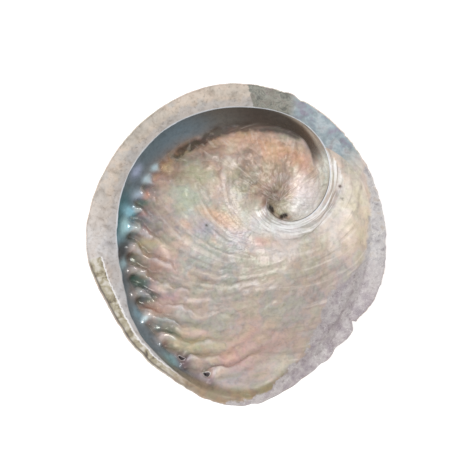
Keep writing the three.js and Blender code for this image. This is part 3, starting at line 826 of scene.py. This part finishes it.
for at_x, at_y, spot_size, stretch, turned, colour, strength in WALL_GLINTS_SHADE_AND_PITS:
    wash(colour, is_bowl * np.minimum(1, 1.3 * spot(at_x, at_y, spot_size, stretch, turned)) * strength)
# Painted shade: two dark hollows just under the fold below the apex
for at_x, at_y, turned in ((-3.4, -3.8, -60), (2.6, -7.4, 25)):
    wash("#261d17", open_bowl * np.minimum(1, 2.4 * spot(at_x, at_y, 1.05, 1.7, turned)))

# A greyish veil takes the strength out of the washes, as the pearl colours are pale
wash("#c4c7c4", open_bowl * mix(0.15, 0.0, np.clip(2 * hollow_field + (radius < 10), 0, 1)))
outer_half = is_margin | (is_bowl & (share > 0.5))
bottom_rim = outer_half * smooth(growth, 215, 250) * (1 - smooth(growth, 280, 300))
wash("#877655", bottom_rim * smooth(from_edge, -7, -2) * 0.8)

# A pale ripple along the lip's side, dark flecks, a painted highlight on every raised part and a little
# painted shade in every hollow
RIPPLE = [(38, 22), (42, 12), (44, 0), (44, -15), (42, -28)]
wash("#f1ece4", is_bowl * stroke(0.9, RIPPLE) * 0.5)
for at_x, at_y, fleck in ((29, 7, 0.7), (33.5, 25, 0.6), (-36, -12, 0.5), (30, 1, 0.5)):
    wash("#4e433b", open_bowl * np.minimum(1, 2 * spot(at_x, at_y, fleck)))
wash("#ffffff", open_bowl * smooth(relief, 0.5, 1.7) * 0.3)
wash("#6b6056", open_bowl * smooth(relief, -0.2, -1.2) * 0.35)

# Deep shade along the foot of the wall at the top
FOOT = [(-51, 22), (-46, 26), (-38, 30), (-30.5, 34), (-20.5, 36), (-9.5, 37), (2, 36), (9.5, 33)]
wash("#453b33", is_bowl * np.minimum(1, 1.4 * stroke(2.4, FOOT) * (1 + 0.8 * fine_lumpy)) * 0.88)

# The lip: a duller grey band that the mantle left bare, between the nacre and the rim
LIP_BORDER = table([
    [-310, 200], [255, 101], [262, 96], [272, 83], [280, 73], [290, 60], [300, 51.7], [313, 49.8],
    [328, 48.5], [339, 44.8], [347, 43.9], [364, 43], [380, 41.7], [390, 41.1], [398, 40.5], [410, 42],
])
past_border = np.where(is_margin | is_bowl, radius - LIP_BORDER(growth)[:, 0], 0)
past_border = np.where(growth < 250, -30, past_border - 40 * smooth(growth, 378, 408))

# ---------------------------------------------------------------------- Shell: the mesh itself
# The middle of the plain skin's box goes to the middle of the frame's.
plain_low, plain_high = points.min(0), points.max(0)
shift = np.array([middle.x / MM, middle.y / MM, CAD_LOW.z / MM - REST_HEIGHT])
shift[:2] -= (plain_low[:2] + plain_high[:2]) / 2
final = (moved + shift) * MM

mesh = bpy.data.meshes.new("shell")
mesh.from_pydata(final.tolist(), [], faces.tolist())
mesh.update()
shell = bpy.data.objects.new("abalone_shell", mesh)
bpy.context.scene.collection.objects.link(shell)
mesh.polygons.foreach_set("use_smooth", np.ones(len(faces), bool))

shelf_share = 1 - smooth(growth, SHELF_END - 10, SHELF_END + 10) + smooth(growth, 378, 400)
MEASURES = {
    "from_edge": from_edge,
    "from_rim": from_rim,
    "past_border": past_border,
    "low_shelf": smooth(growth, 172, 196),
    "low_lip": 1 - smooth(growth, 315, 335),
    "fold_width": np.where(growth > 197, np.interp(growth, [200, 225, 250, 262], [6.4, 3.8, 3.0, 0.8]), -5),
    "to_crust": np.where(growth > 300, mix(-9, 9, smooth(growth, 368, 380)), np.clip(106 - growth, -9, 9)),
    "to_smooth": np.where(growth > 300, 9, np.clip(82 - growth, -9, 9)),
    "ridge": ridge * smooth(from_edge, 0, 1.2),
    "darkened_rim": 0.8 * smooth(growth, 192, 205) * (1 - smooth(growth, 250, 262)),
    "keen_edge": smooth(growth, -60, -20) * mix(0.9, 0.25, smooth(growth, 184, 204)) * (growth < 236),
    "fold_shade": smooth(growth, -165, -130) * (1 - smooth(growth, 10, 45)),
    "scar": scar,
    "wall": wall,
    "is_shelf": is_margin * shelf_share,
    "in_sweep": in_sweep,
    "crust": crust,
    "pearls": np.clip((belt * 0.7 + pore_field + 0.5 * flank * smooth(inward, 14, 6))
                      * (1 - smooth(growth, 226, 238)), 0, 1),
    "crest": is_back * (corrugation + growth_ridges),
}
for name, values in MEASURES.items():
    layer = mesh.attributes.new(name, "FLOAT", "POINT")
    layer.data.foreach_set("value", np.asarray(values, np.float32))
tint_layer = mesh.color_attributes.new("tint", "FLOAT_COLOR", "POINT")
tint_values = np.column_stack([tint, np.ones(len(points))]).astype(np.float32)
tint_layer.data.foreach_set("color", tint_values.ravel())

# UV maps in millimetres, with a value for each corner of each triangle
ARC = 50 * math.pi / 180  # millimetres of arc for one degree, at a middling radius
corner_radius = np.maximum(corners["radius"], LEAST_RADIUS)
corner_angle = np.radians(corners["growth"])
corner_sweep = corner_angle + SWEEP_OPENING * np.log(corner_radius) - SWEEP_CURL / corner_radius
uv_maps = {
    "along": (corners["growth"] * ARC, corners["share"] * corners["length"]),
    "rays": (corners["radius"], corner_angle * 26),
    "sweep": (corner_angle * 30, corner_sweep * 30),
}
for name, (u, v) in uv_maps.items():
    uv = np.column_stack([u[triangles.ravel()], v[triangles.ravel()]]).astype(np.float32)
    mesh.uv_layers.new(name=name).uv.foreach_set("vector", uv.ravel())

# ---------------------------------------------------------------- Material: nacre and bare lip
# Nacre is aragonite in thin even layers: it is pearly, smooth and softly mirror-like, and its
# colour breaks up in pink, green and lilac. The shelf and lip are the same, rubbed dull.
OVER = {"data_type": "RGBA", "blend_type": "MIX"}
TIMES = {"data_type": "RGBA", "blend_type": "MULTIPLY"}
SOFT = {"interpolation_type": "SMOOTHSTEP"}
ONE_MM = 1 / MM  # noise scale for lumps one millimetre across

nacre, tree = new_material("nacre, worn at the rim")
place = add(tree, "TexCoord", output="Object")
along = add(tree, "Mapping", {"Vector": add(tree, "UVMap", uv_map="along"), "Scale": (MM / 12, MM, MM)})
swept = add(tree, "Mapping", {"Vector": add(tree, "UVMap", uv_map="sweep"), "Scale": (MM / 9, MM, MM)})
radiating = add(tree, "Mapping", {"Vector": add(tree, "UVMap", uv_map="rays"), "Scale": (MM / 5, MM, MM)})
inside_measures = [name for name in MEASURES if name not in ("crust", "crest")]
read = {name: add(tree, "Attribute", output="Fac", attribute_name=name) for name in inside_measures}

# Grains of three sizes, and streaks in the three directions that the shell grew
fine = add(tree, "TexNoise", {"Vector": place, "Scale": ONE_MM / 1.3, "Detail": 4, "Roughness": 0.6})
medium = add(tree, "TexNoise", {"Vector": place, "Scale": ONE_MM / 3.4, "Detail": 4, "Distortion": 0.6})
wavy = add(tree, "TexNoise", {"Vector": place, "Scale": ONE_MM / 6, "Detail": 3, "Roughness": 0.6})
broad = add(tree, "TexNoise", {"Vector": place, "Scale": ONE_MM / 13, "Detail": 4, "Roughness": 0.6})
lip_streaks = add(tree, "TexNoise", {"Vector": along, "Scale": ONE_MM / 3, "Detail": 2, "Distortion": 0.4})
sweep_streaks = add(tree, "TexNoise", {"Vector": swept, "Scale": ONE_MM / 5, "Detail": 2, "Distortion": 0.4})
scar_streaks = add(tree, "TexNoise", {"Vector": radiating, "Scale": ONE_MM / 2.4, "Detail": 3,
                                      "Distortion": 0.8})
streaks = add(tree, "Mix", {0: read["in_sweep"], 6: lip_streaks, 7: sweep_streaks}, 2, **OVER)
streaks = add(tree, "Mix", {0: read["scar"], 6: streaks, 7: scar_streaks}, 2, **OVER)

# Pearl colours, in bands that wander like contour lines
bands = add(tree, "Math", {0: broad, 1: 3.6}, operation="MULTIPLY")
pearl = add(tree, "ValToRGB", {0: add(tree, "Math", {0: bands}, operation="FRACT")}, stops=[
    (0.0, "#dbb6a8"), (0.2, "#d8caaa"), (0.38, "#b3c0a0"), (0.55, "#a4bbb4"), (0.72, "#aaa3ba"),
    (0.88, "#d2acb2"), (1.0, "#dbb6a8"),
])
tint_colour = add(tree, "Attribute", output="Color", attribute_name="tint")
pearled = add(tree, "Mix", {0: 0.38, 6: tint_colour, 7: pearl}, 2, data_type="RGBA", blend_type="SOFT_LIGHT")
on_nacre = add(tree, "Math", {0: 1.0, 1: read["wall"]}, operation="SUBTRACT")
colour = add(tree, "Mix", {0: on_nacre, 6: tint_colour, 7: pearled}, 2, **OVER)
light_streak = add(tree, "MapRange", {0: streaks, 1: 0.54, 2: 0.72, 4: 0.42}, **SOFT)
light_streak = add(tree, "Math", {0: light_streak, 1: on_nacre}, operation="MULTIPLY")
colour = add(tree, "Mix", {0: light_streak, 6: colour, 7: linear("#efe5da")}, 2, **OVER)
dark_streak = add(tree, "MapRange", {0: streaks, 1: 0.45, 2: 0.28, 4: 0.34}, **SOFT)
dark_streak = add(tree, "Math", {0: dark_streak, 1: on_nacre}, operation="MULTIPLY")
colour = add(tree, "Mix", {0: dark_streak, 6: colour, 7: linear("#8b7d72")}, 2, **OVER)
soft_grain = add(tree, "ValToRGB", {0: medium}, stops=[(0.3, "#dddddd"), (0.5, "#fafafa"), (0.7, "#ffffff")])
fine_grain = add(tree, "ValToRGB", {0: fine}, stops=[(0.3, "#e4e4e4"), (0.5, "#fcfcfc"), (0.7, "#ffffff")])
colour = add(tree, "Mix", {0: 0.7, 6: colour, 7: soft_grain}, 2, **TIMES)
colour = add(tree, "Mix", {0: 0.7, 6: colour, 7: fine_grain}, 2, **TIMES)

# Fine white lines drawn tightly round the fold
drawn = add(tree, "Mapping", {"Vector": add(tree, "UVMap", uv_map="along"), "Scale": (MM / 40, MM, MM)})
drawn = add(tree, "TexNoise", {"Vector": drawn, "Scale": ONE_MM / 1.3, "Detail": 2, "Distortion": 0.3})
drawn_light = add(tree, "MapRange", {0: drawn, 1: 0.53, 2: 0.62, 4: 0.8}, **SOFT)
drawn_light = add(tree, "Math", {0: drawn_light, 1: read["ridge"]}, operation="MULTIPLY")
colour = add(tree, "Mix", {0: drawn_light, 6: colour, 7: linear("#f8f8f7")}, 2, **OVER)
drawn_dark = add(tree, "MapRange", {0: drawn, 1: 0.46, 2: 0.36, 4: 0.5}, **SOFT)
drawn_dark = add(tree, "Math", {0: drawn_dark, 1: read["ridge"]}, operation="MULTIPLY")
colour = add(tree, "Mix", {0: drawn_dark, 6: colour, 7: linear("#8d857c")}, 2, **OVER)

# The shelf: beige where it is rubbed, greyer along the edge and silvery at its lower end
wander = add(tree, "MapRange", {0: wavy, 3: -5.5, 4: 5.5})
edge_wander = add(tree, "Math", {0: read["from_edge"], 1: wander}, operation="ADD")
edge_band = add(tree, "MapRange", {0: edge_wander, 1: 6, 2: 3.5, 4: 0.5}, **SOFT)
rubbed = add(tree, "ValToRGB", {0: broad}, stops=[
    (0.34, "#aaa297"), (0.45, "#b7ac9f"), (0.53, "#c2b3a4"), (0.62, "#b3aca4"),
])
silvery = add(tree, "ValToRGB", {0: broad}, stops=[(0.35, "#a9a6a8"), (0.5, "#c0bcba"), (0.64, "#b9aea6")])
shelf = add(tree, "Mix", {0: read["low_shelf"], 6: rubbed, 7: silvery}, 2, **OVER)
shelf = add(tree, "Mix", {0: edge_band, 6: shelf, 7: linear("#a3a2a3")}, 2, **OVER)
stain = add(tree, "ValToRGB", {0: medium}, stops=[(0.3, "#cbc5bf"), (0.45, "#f2f0ee"), (0.6, "#ffffff")])
speck = add(tree, "ValToRGB", {0: fine}, stops=[(0.28, "#a9a5a2"), (0.42, "#f6f5f4"), (0.6, "#ffffff")])
shelf = add(tree, "Mix", {0: 0.8, 6: shelf, 7: stain}, 2, **TIMES)
shelf = add(tree, "Mix", {0: 0.7, 6: shelf, 7: speck}, 2, **TIMES)

# The fold broken away outside the shelf's lower end, olive brown with dirt in it
past_fold = add(tree, "Math", {0: read["fold_width"], 1: read["from_rim"]}, operation="SUBTRACT")
past_fold = add(tree, "Math", {0: past_fold, 1: add(tree, "MapRange", {0: fine, 3: -0.8, 4: 0.8})},
                operation="ADD")
on_fold = add(tree, "MapRange", {0: past_fold, 1: -0.3, 2: 0.3}, **SOFT)
olive = add(tree, "ValToRGB", {0: medium}, stops=[
    (0.32, "#483d2e"), (0.42, "#7d7258"), (0.52, "#9f967f"), (0.66, "#bdb7ac"),
])
shelf = add(tree, "Mix", {0: on_fold, 6: shelf, 7: olive}, 2, **OVER)
# A painted highlight: a pale line along the crest of the fold
fold_highlight = add(tree, "Math", {0: past_fold}, operation="ABSOLUTE")
fold_highlight = add(tree, "MapRange", {0: fold_highlight, 1: 0.55, 2: 0.15, 4: 0.8}, **SOFT)
shelf = add(tree, "Mix", {0: fold_highlight, 6: shelf, 7: linear("#dedcdb")}, 2, **OVER)

# Darker brown along the rim at the shelf's lower end
rim_darkening = add(tree, "MapRange", {0: read["from_rim"], 1: 1.3, 2: 0.5}, **SOFT)
rim_darkening = add(tree, "Math", {0: rim_darkening, 1: read["darkened_rim"]}, operation="MULTIPLY")
shelf = add(tree, "Mix", {0: rim_darkening, 6: shelf, 7: linear("#4b4136")}, 2, **OVER)

# A grey crust on the shelf's far right, lumpy at first and then smooth and blue-grey
jitter = add(tree, "MapRange", {0: fine, 3: -1.5, 4: 1.5})
crust_start = add(tree, "Math", {0: read["to_crust"], 1: jitter}, operation="ADD")
crusted = add(tree, "MapRange", {0: crust_start, 1: -0.2, 2: 0.2}, **SOFT)
lumpy_crust = add(tree, "TexNoise", {"Vector": place, "Scale": ONE_MM / 3.6, "Detail": 5, "Roughness": 0.7,
                                     "Distortion": 0.8})
crusty = add(tree, "ValToRGB", {0: lumpy_crust}, stops=[
    (0.3, "#45423d"), (0.42, "#676860"), (0.52, "#8b8a7f"), (0.6, "#756e65"), (0.74, "#9a8e94"),
])
blue_grey = add(tree, "ValToRGB", {0: wavy}, stops=[
    (0.32, "#858391"), (0.45, "#8b9aa0"), (0.55, "#a5afb3"), (0.68, "#949095"),
])
smooth_part = add(tree, "MapRange", {0: read["to_smooth"], 1: -4, 2: 4}, **SOFT)
crust_colour = add(tree, "Mix", {0: smooth_part, 6: crusty, 7: blue_grey}, 2, **OVER)
crust_colour = add(tree, "Mix", {0: 0.6, 6: crust_colour, 7: stain}, 2, **TIMES)
shelf = add(tree, "Mix", {0: crusted, 6: shelf, 7: crust_colour}, 2, **OVER)
past_edge = add(tree, "MapRange", {0: read["from_edge"], 1: 0.0, 2: 0.5}, **SOFT)
shelf_mask = add(tree, "Math", {0: read["is_shelf"], 1: past_edge}, operation="MULTIPLY", use_clamp=True)
colour = add(tree, "Mix", {0: shelf_mask, 6: colour, 7: shelf}, 2, **OVER)

# The lip's bare band, scratched and mauve grey
wander_share = add(tree, "MapRange", {0: read["low_lip"], 3: 0.3, 4: 1.0})
wander_past = add(tree, "Math", {0: wander, 1: wander_share, 2: read["past_border"]},
                  operation="MULTIPLY_ADD")
bare = add(tree, "MapRange", {0: wander_past, 1: -1.2, 2: 0.6, 4: 0.9}, **SOFT)
bare_grey = add(tree, "ValToRGB", {0: medium}, stops=[
    (0.3, "#948f93"), (0.45, "#aeabac"), (0.56, "#bfbcbb"), (0.7, "#b3aaa2"),
])
mauve = add(tree, "ValToRGB", {0: wavy}, stops=[
    (0.32, "#8b8189"), (0.45, "#a0979b"), (0.56, "#b3adad"), (0.7, "#9d9598"),
])
bare_grey = add(tree, "Mix", {0: read["low_lip"], 6: bare_grey, 7: mauve}, 2, **OVER)
bare_grey = add(tree, "Mix", {0: 0.8, 6: bare_grey, 7: speck}, 2, **TIMES)
scratched = add(tree, "TexNoise", {"Vector": place, "Scale": ONE_MM / 5, "Detail": 2, "Distortion": 2.5})
scratch = add(tree, "Math", {0: scratched, 1: 0.5}, operation="SUBTRACT")
scratch = add(tree, "Math", {0: scratch}, operation="ABSOLUTE")
scratch = add(tree, "MapRange", {0: scratch, 1: 0.012, 2: 0.0, 4: 0.6}, **SOFT)
bare_grey = add(tree, "Mix", {0: scratch, 6: bare_grey, 7: linear("#e6e3e0")}, 2, **OVER)
colour = add(tree, "Mix", {0: bare, 6: colour, 7: bare_grey}, 2, **OVER)

# The sharp edge of the shelf, a painted highlight in bluish white, and painted shade along the seam where it
# winds in
edge_distance = add(tree, "Math", {0: read["from_edge"]}, operation="ABSOLUTE")
edge_highlight = add(tree, "MapRange", {0: edge_distance, 1: 0.8, 2: 0.25}, **SOFT)
edge_highlight = add(tree, "Math", {0: edge_highlight, 1: read["keen_edge"]}, operation="MULTIPLY")
colour = add(tree, "Mix", {0: edge_highlight, 6: colour, 7: linear("#dfe5ec")}, 2, **OVER)
under_edge = add(tree, "Math", {0: read["from_edge"], 1: 0.9}, operation="ADD")
under_edge = add(tree, "Math", {0: under_edge}, operation="ABSOLUTE")
seam = add(tree, "MapRange", {0: under_edge, 1: 0.8, 2: 0.2, 4: 0.8}, **SOFT)
seam = add(tree, "Math", {0: seam, 1: read["fold_shade"]}, operation="MULTIPLY")
colour = add(tree, "Mix", {0: seam, 6: colour, 7: linear("#4f453c")}, 2, **OVER)

relief_mm = add(tree, "Math", {0: fine, 1: 0.06}, operation="MULTIPLY")
relief_mm = add(tree, "Math", {0: medium, 1: 0.12, 2: relief_mm}, operation="MULTIPLY_ADD")
relief_mm = add(tree, "Math", {0: streaks, 1: 0.12, 2: relief_mm}, operation="MULTIPLY_ADD")
dull = add(tree, "Math", {0: shelf_mask, 1: bare}, operation="MAXIMUM")
relief_mm = add(tree, "Math", {0: dull, 1: add(tree, "Math", {0: fine, 1: 0.15}, operation="MULTIPLY"),
                               2: relief_mm}, operation="MULTIPLY_ADD")
bump = add(tree, "Bump", {"Height": relief_mm, "Distance": MM, "Strength": 1.0})
gloss = add(tree, "Math", {0: read["wall"], 1: read["pearls"]}, operation="MAXIMUM")
roughness = add(tree, "MapRange", {0: gloss, 3: 0.42, 4: 0.2})
roughness = add(tree, "Math", {0: dull, 1: 0.15, 2: roughness}, operation="MULTIPLY_ADD")
metallic = add(tree, "MapRange", {0: gloss, 3: 0.08, 4: 0.35})
metallic = add(tree, "Math", {0: dull, 1: -0.1, 2: metallic}, operation="MULTIPLY_ADD", use_clamp=True)
surface = add(tree, "BsdfPrincipled", {
    "Base Color": colour, "Roughness": roughness, "Metallic": metallic, "Normal": bump,
    "IOR": 1.6, "Coat Weight": 0.08, "Coat Roughness": 0.15,
})
add(tree, "OutputMaterial", {"Surface": surface}, output=None)

# ------------------------------------------------------------- Material: the chalky outer layer
# The outside is dull calcite and horny skin, brick red and brown, crusted pink and chalk white.
outside, tree = new_material("chalky outer layer with crusts")
place = add(tree, "TexCoord", output="Object")
along = add(tree, "Mapping", {"Vector": add(tree, "UVMap", uv_map="along"), "Scale": (MM, MM, MM)})
fine = add(tree, "TexNoise", {"Vector": place, "Scale": ONE_MM / 1.2, "Detail": 5, "Roughness": 0.65})
medium = add(tree, "TexNoise", {"Vector": place, "Scale": ONE_MM / 4, "Detail": 5, "Distortion": 0.6})
wavy = add(tree, "TexNoise", {"Vector": place, "Scale": ONE_MM / 6, "Detail": 5, "Roughness": 0.7})
lines = add(tree, "TexNoise", {"Vector": along, "Scale": ONE_MM / 1.6, "Detail": 4, "Distortion": 0.3})
stripes = add(tree, "TexNoise", {"Vector": along, "Scale": ONE_MM / 9, "Detail": 4, "Roughness": 0.6})
brick = add(tree, "ValToRGB", {0: medium}, stops=[
    (0.3, "#5b3a32"), (0.45, "#84554a"), (0.58, "#9a7263"), (0.75, "#8d8468"),
])
striped = add(tree, "ValToRGB", {0: stripes}, stops=[(0.4, "#6e4840"), (0.5, "#a08a74"), (0.6, "#7f8168")])
colour = add(tree, "Mix", {0: 0.4, 6: brick, 7: striped}, 2, **OVER)
crest_height = add(tree, "Attribute", output="Fac", attribute_name="crest")
raised = add(tree, "MapRange", {0: crest_height, 1: 0.1, 2: 1.3, 4: 0.5}, **SOFT)
colour = add(tree, "Mix", {0: raised, 6: colour, 7: linear("#b8a899")}, 2, **OVER)
crust_amount = add(tree, "Attribute", output="Fac", attribute_name="crust")
crust_amount = add(tree, "Math", {0: crust_amount, 1: add(tree, "MapRange", {0: fine, 3: -0.6, 4: 0.6})},
                   operation="ADD")
crusted = add(tree, "MapRange", {0: crust_amount, 1: 0.35, 2: 0.6}, **SOFT)
crust_tones = add(tree, "ValToRGB", {0: medium}, stops=[
    (0.35, "#a97f7f"), (0.5, "#c9bcb0"), (0.62, "#d8d2c6"), (0.75, "#9b9a80"),
])
colour = add(tree, "Mix", {0: crusted, 6: colour, 7: crust_tones}, 2, **OVER)
pitted = add(tree, "ValToRGB", {0: fine}, stops=[(0.25, "#cccccc"), (0.5, "#ffffff")])
colour = add(tree, "Mix", {0: 0.9, 6: colour, 7: pitted}, 2, **TIMES)
# Along the rim the outer layer is rubbed back to grey, with brown left in the hollows
to_rim = add(tree, "Attribute", output="Fac", attribute_name="from_rim")
near_rim = add(tree, "MapRange", {0: to_rim, 1: -6.5, 2: -2.5, 4: 0.85}, **SOFT)
rubbed = add(tree, "ValToRGB", {0: wavy}, stops=[(0.36, "#4f3f33"), (0.46, "#8d8375"), (0.62, "#b9b3a9")])
colour = add(tree, "Mix", {0: near_rim, 6: colour, 7: rubbed}, 2, **OVER)
relief_mm = add(tree, "Math", {0: fine, 1: 0.35}, operation="MULTIPLY")
relief_mm = add(tree, "Math", {0: lines, 1: 0.4, 2: relief_mm}, operation="MULTIPLY_ADD")
bump = add(tree, "Bump", {"Height": relief_mm, "Distance": MM, "Strength": 1.0})
surface = add(tree, "BsdfPrincipled", {
    "Base Color": colour, "Normal": bump, "IOR": 1.5, "Roughness": 0.8, "Specular IOR Level": 0.3,
})
add(tree, "OutputMaterial", {"Surface": surface}, output=None)

# Inside the open pores the nacre is rubbed dull by the water, and looks plain mauve grey
in_pore, tree = new_material("dull nacre inside the pores")
surface = add(tree, "BsdfPrincipled", {"Base Color": linear("#75696b"), "Roughness": 0.6})
add(tree, "OutputMaterial", {"Surface": surface}, output=None)
mesh.materials.append(nacre)
mesh.materials.append(outside)
strip_of_face = corners["strip"][triangles].max(axis=1)
share_of_face = corners["share"][triangles].mean(axis=1)
outer_face = (strip_of_face == BACK) | ((strip_of_face == OUTER_RIM) & (share_of_face > 0.35))
mesh.polygons.foreach_set("material_index", outer_face.astype(np.int32))

# The two newest pores are open: each is bored through the shoulder, leaning out from the apex.
PORE_LEAN = math.radians(40)
BORE_RADIUS = 1.6
BORE_DEPTH = 14.0
BORE_OVERSHOOT = 4.0  # past the outer skin
for pore in PORES[:OPEN_PORES]:
    at_radius, at_height = SHOULDER(pore)
    at = math.radians(pore)
    out = Vector((math.cos(at), math.sin(at), 0))
    axis = out * math.sin(PORE_LEAN) - Vector((0, 0, math.cos(PORE_LEAN)))
    skin = out * (at_radius + 0.7 * SHOULDER_WALL) + Vector((0, 0, at_height - BOWL_THICKNESS))
    bore_middle = skin - axis * (BORE_DEPTH / 2 - BORE_OVERSHOOT) + Vector(shift)
    bpy.ops.mesh.primitive_cylinder_add(
        vertices=24, radius=BORE_RADIUS * MM, depth=(BORE_DEPTH + BORE_OVERSHOOT) * MM,
        location=bore_middle * MM,
        rotation=axis.to_track_quat("Z", "Y").to_euler())
    bore = bpy.context.object
    bore.data.materials.append(in_pore)
    cut = shell.modifiers.new("pore", "BOOLEAN")
    cut.operation = "DIFFERENCE"
    cut.solver = "EXACT"
    cut.material_mode = "TRANSFER"
    cut.object = bore
    bpy.context.view_layer.objects.active = shell
    bpy.ops.object.modifier_apply(modifier=cut.name)
    bpy.data.objects.remove(bore, do_unlink=True)

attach(shell, "root")
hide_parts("shell")
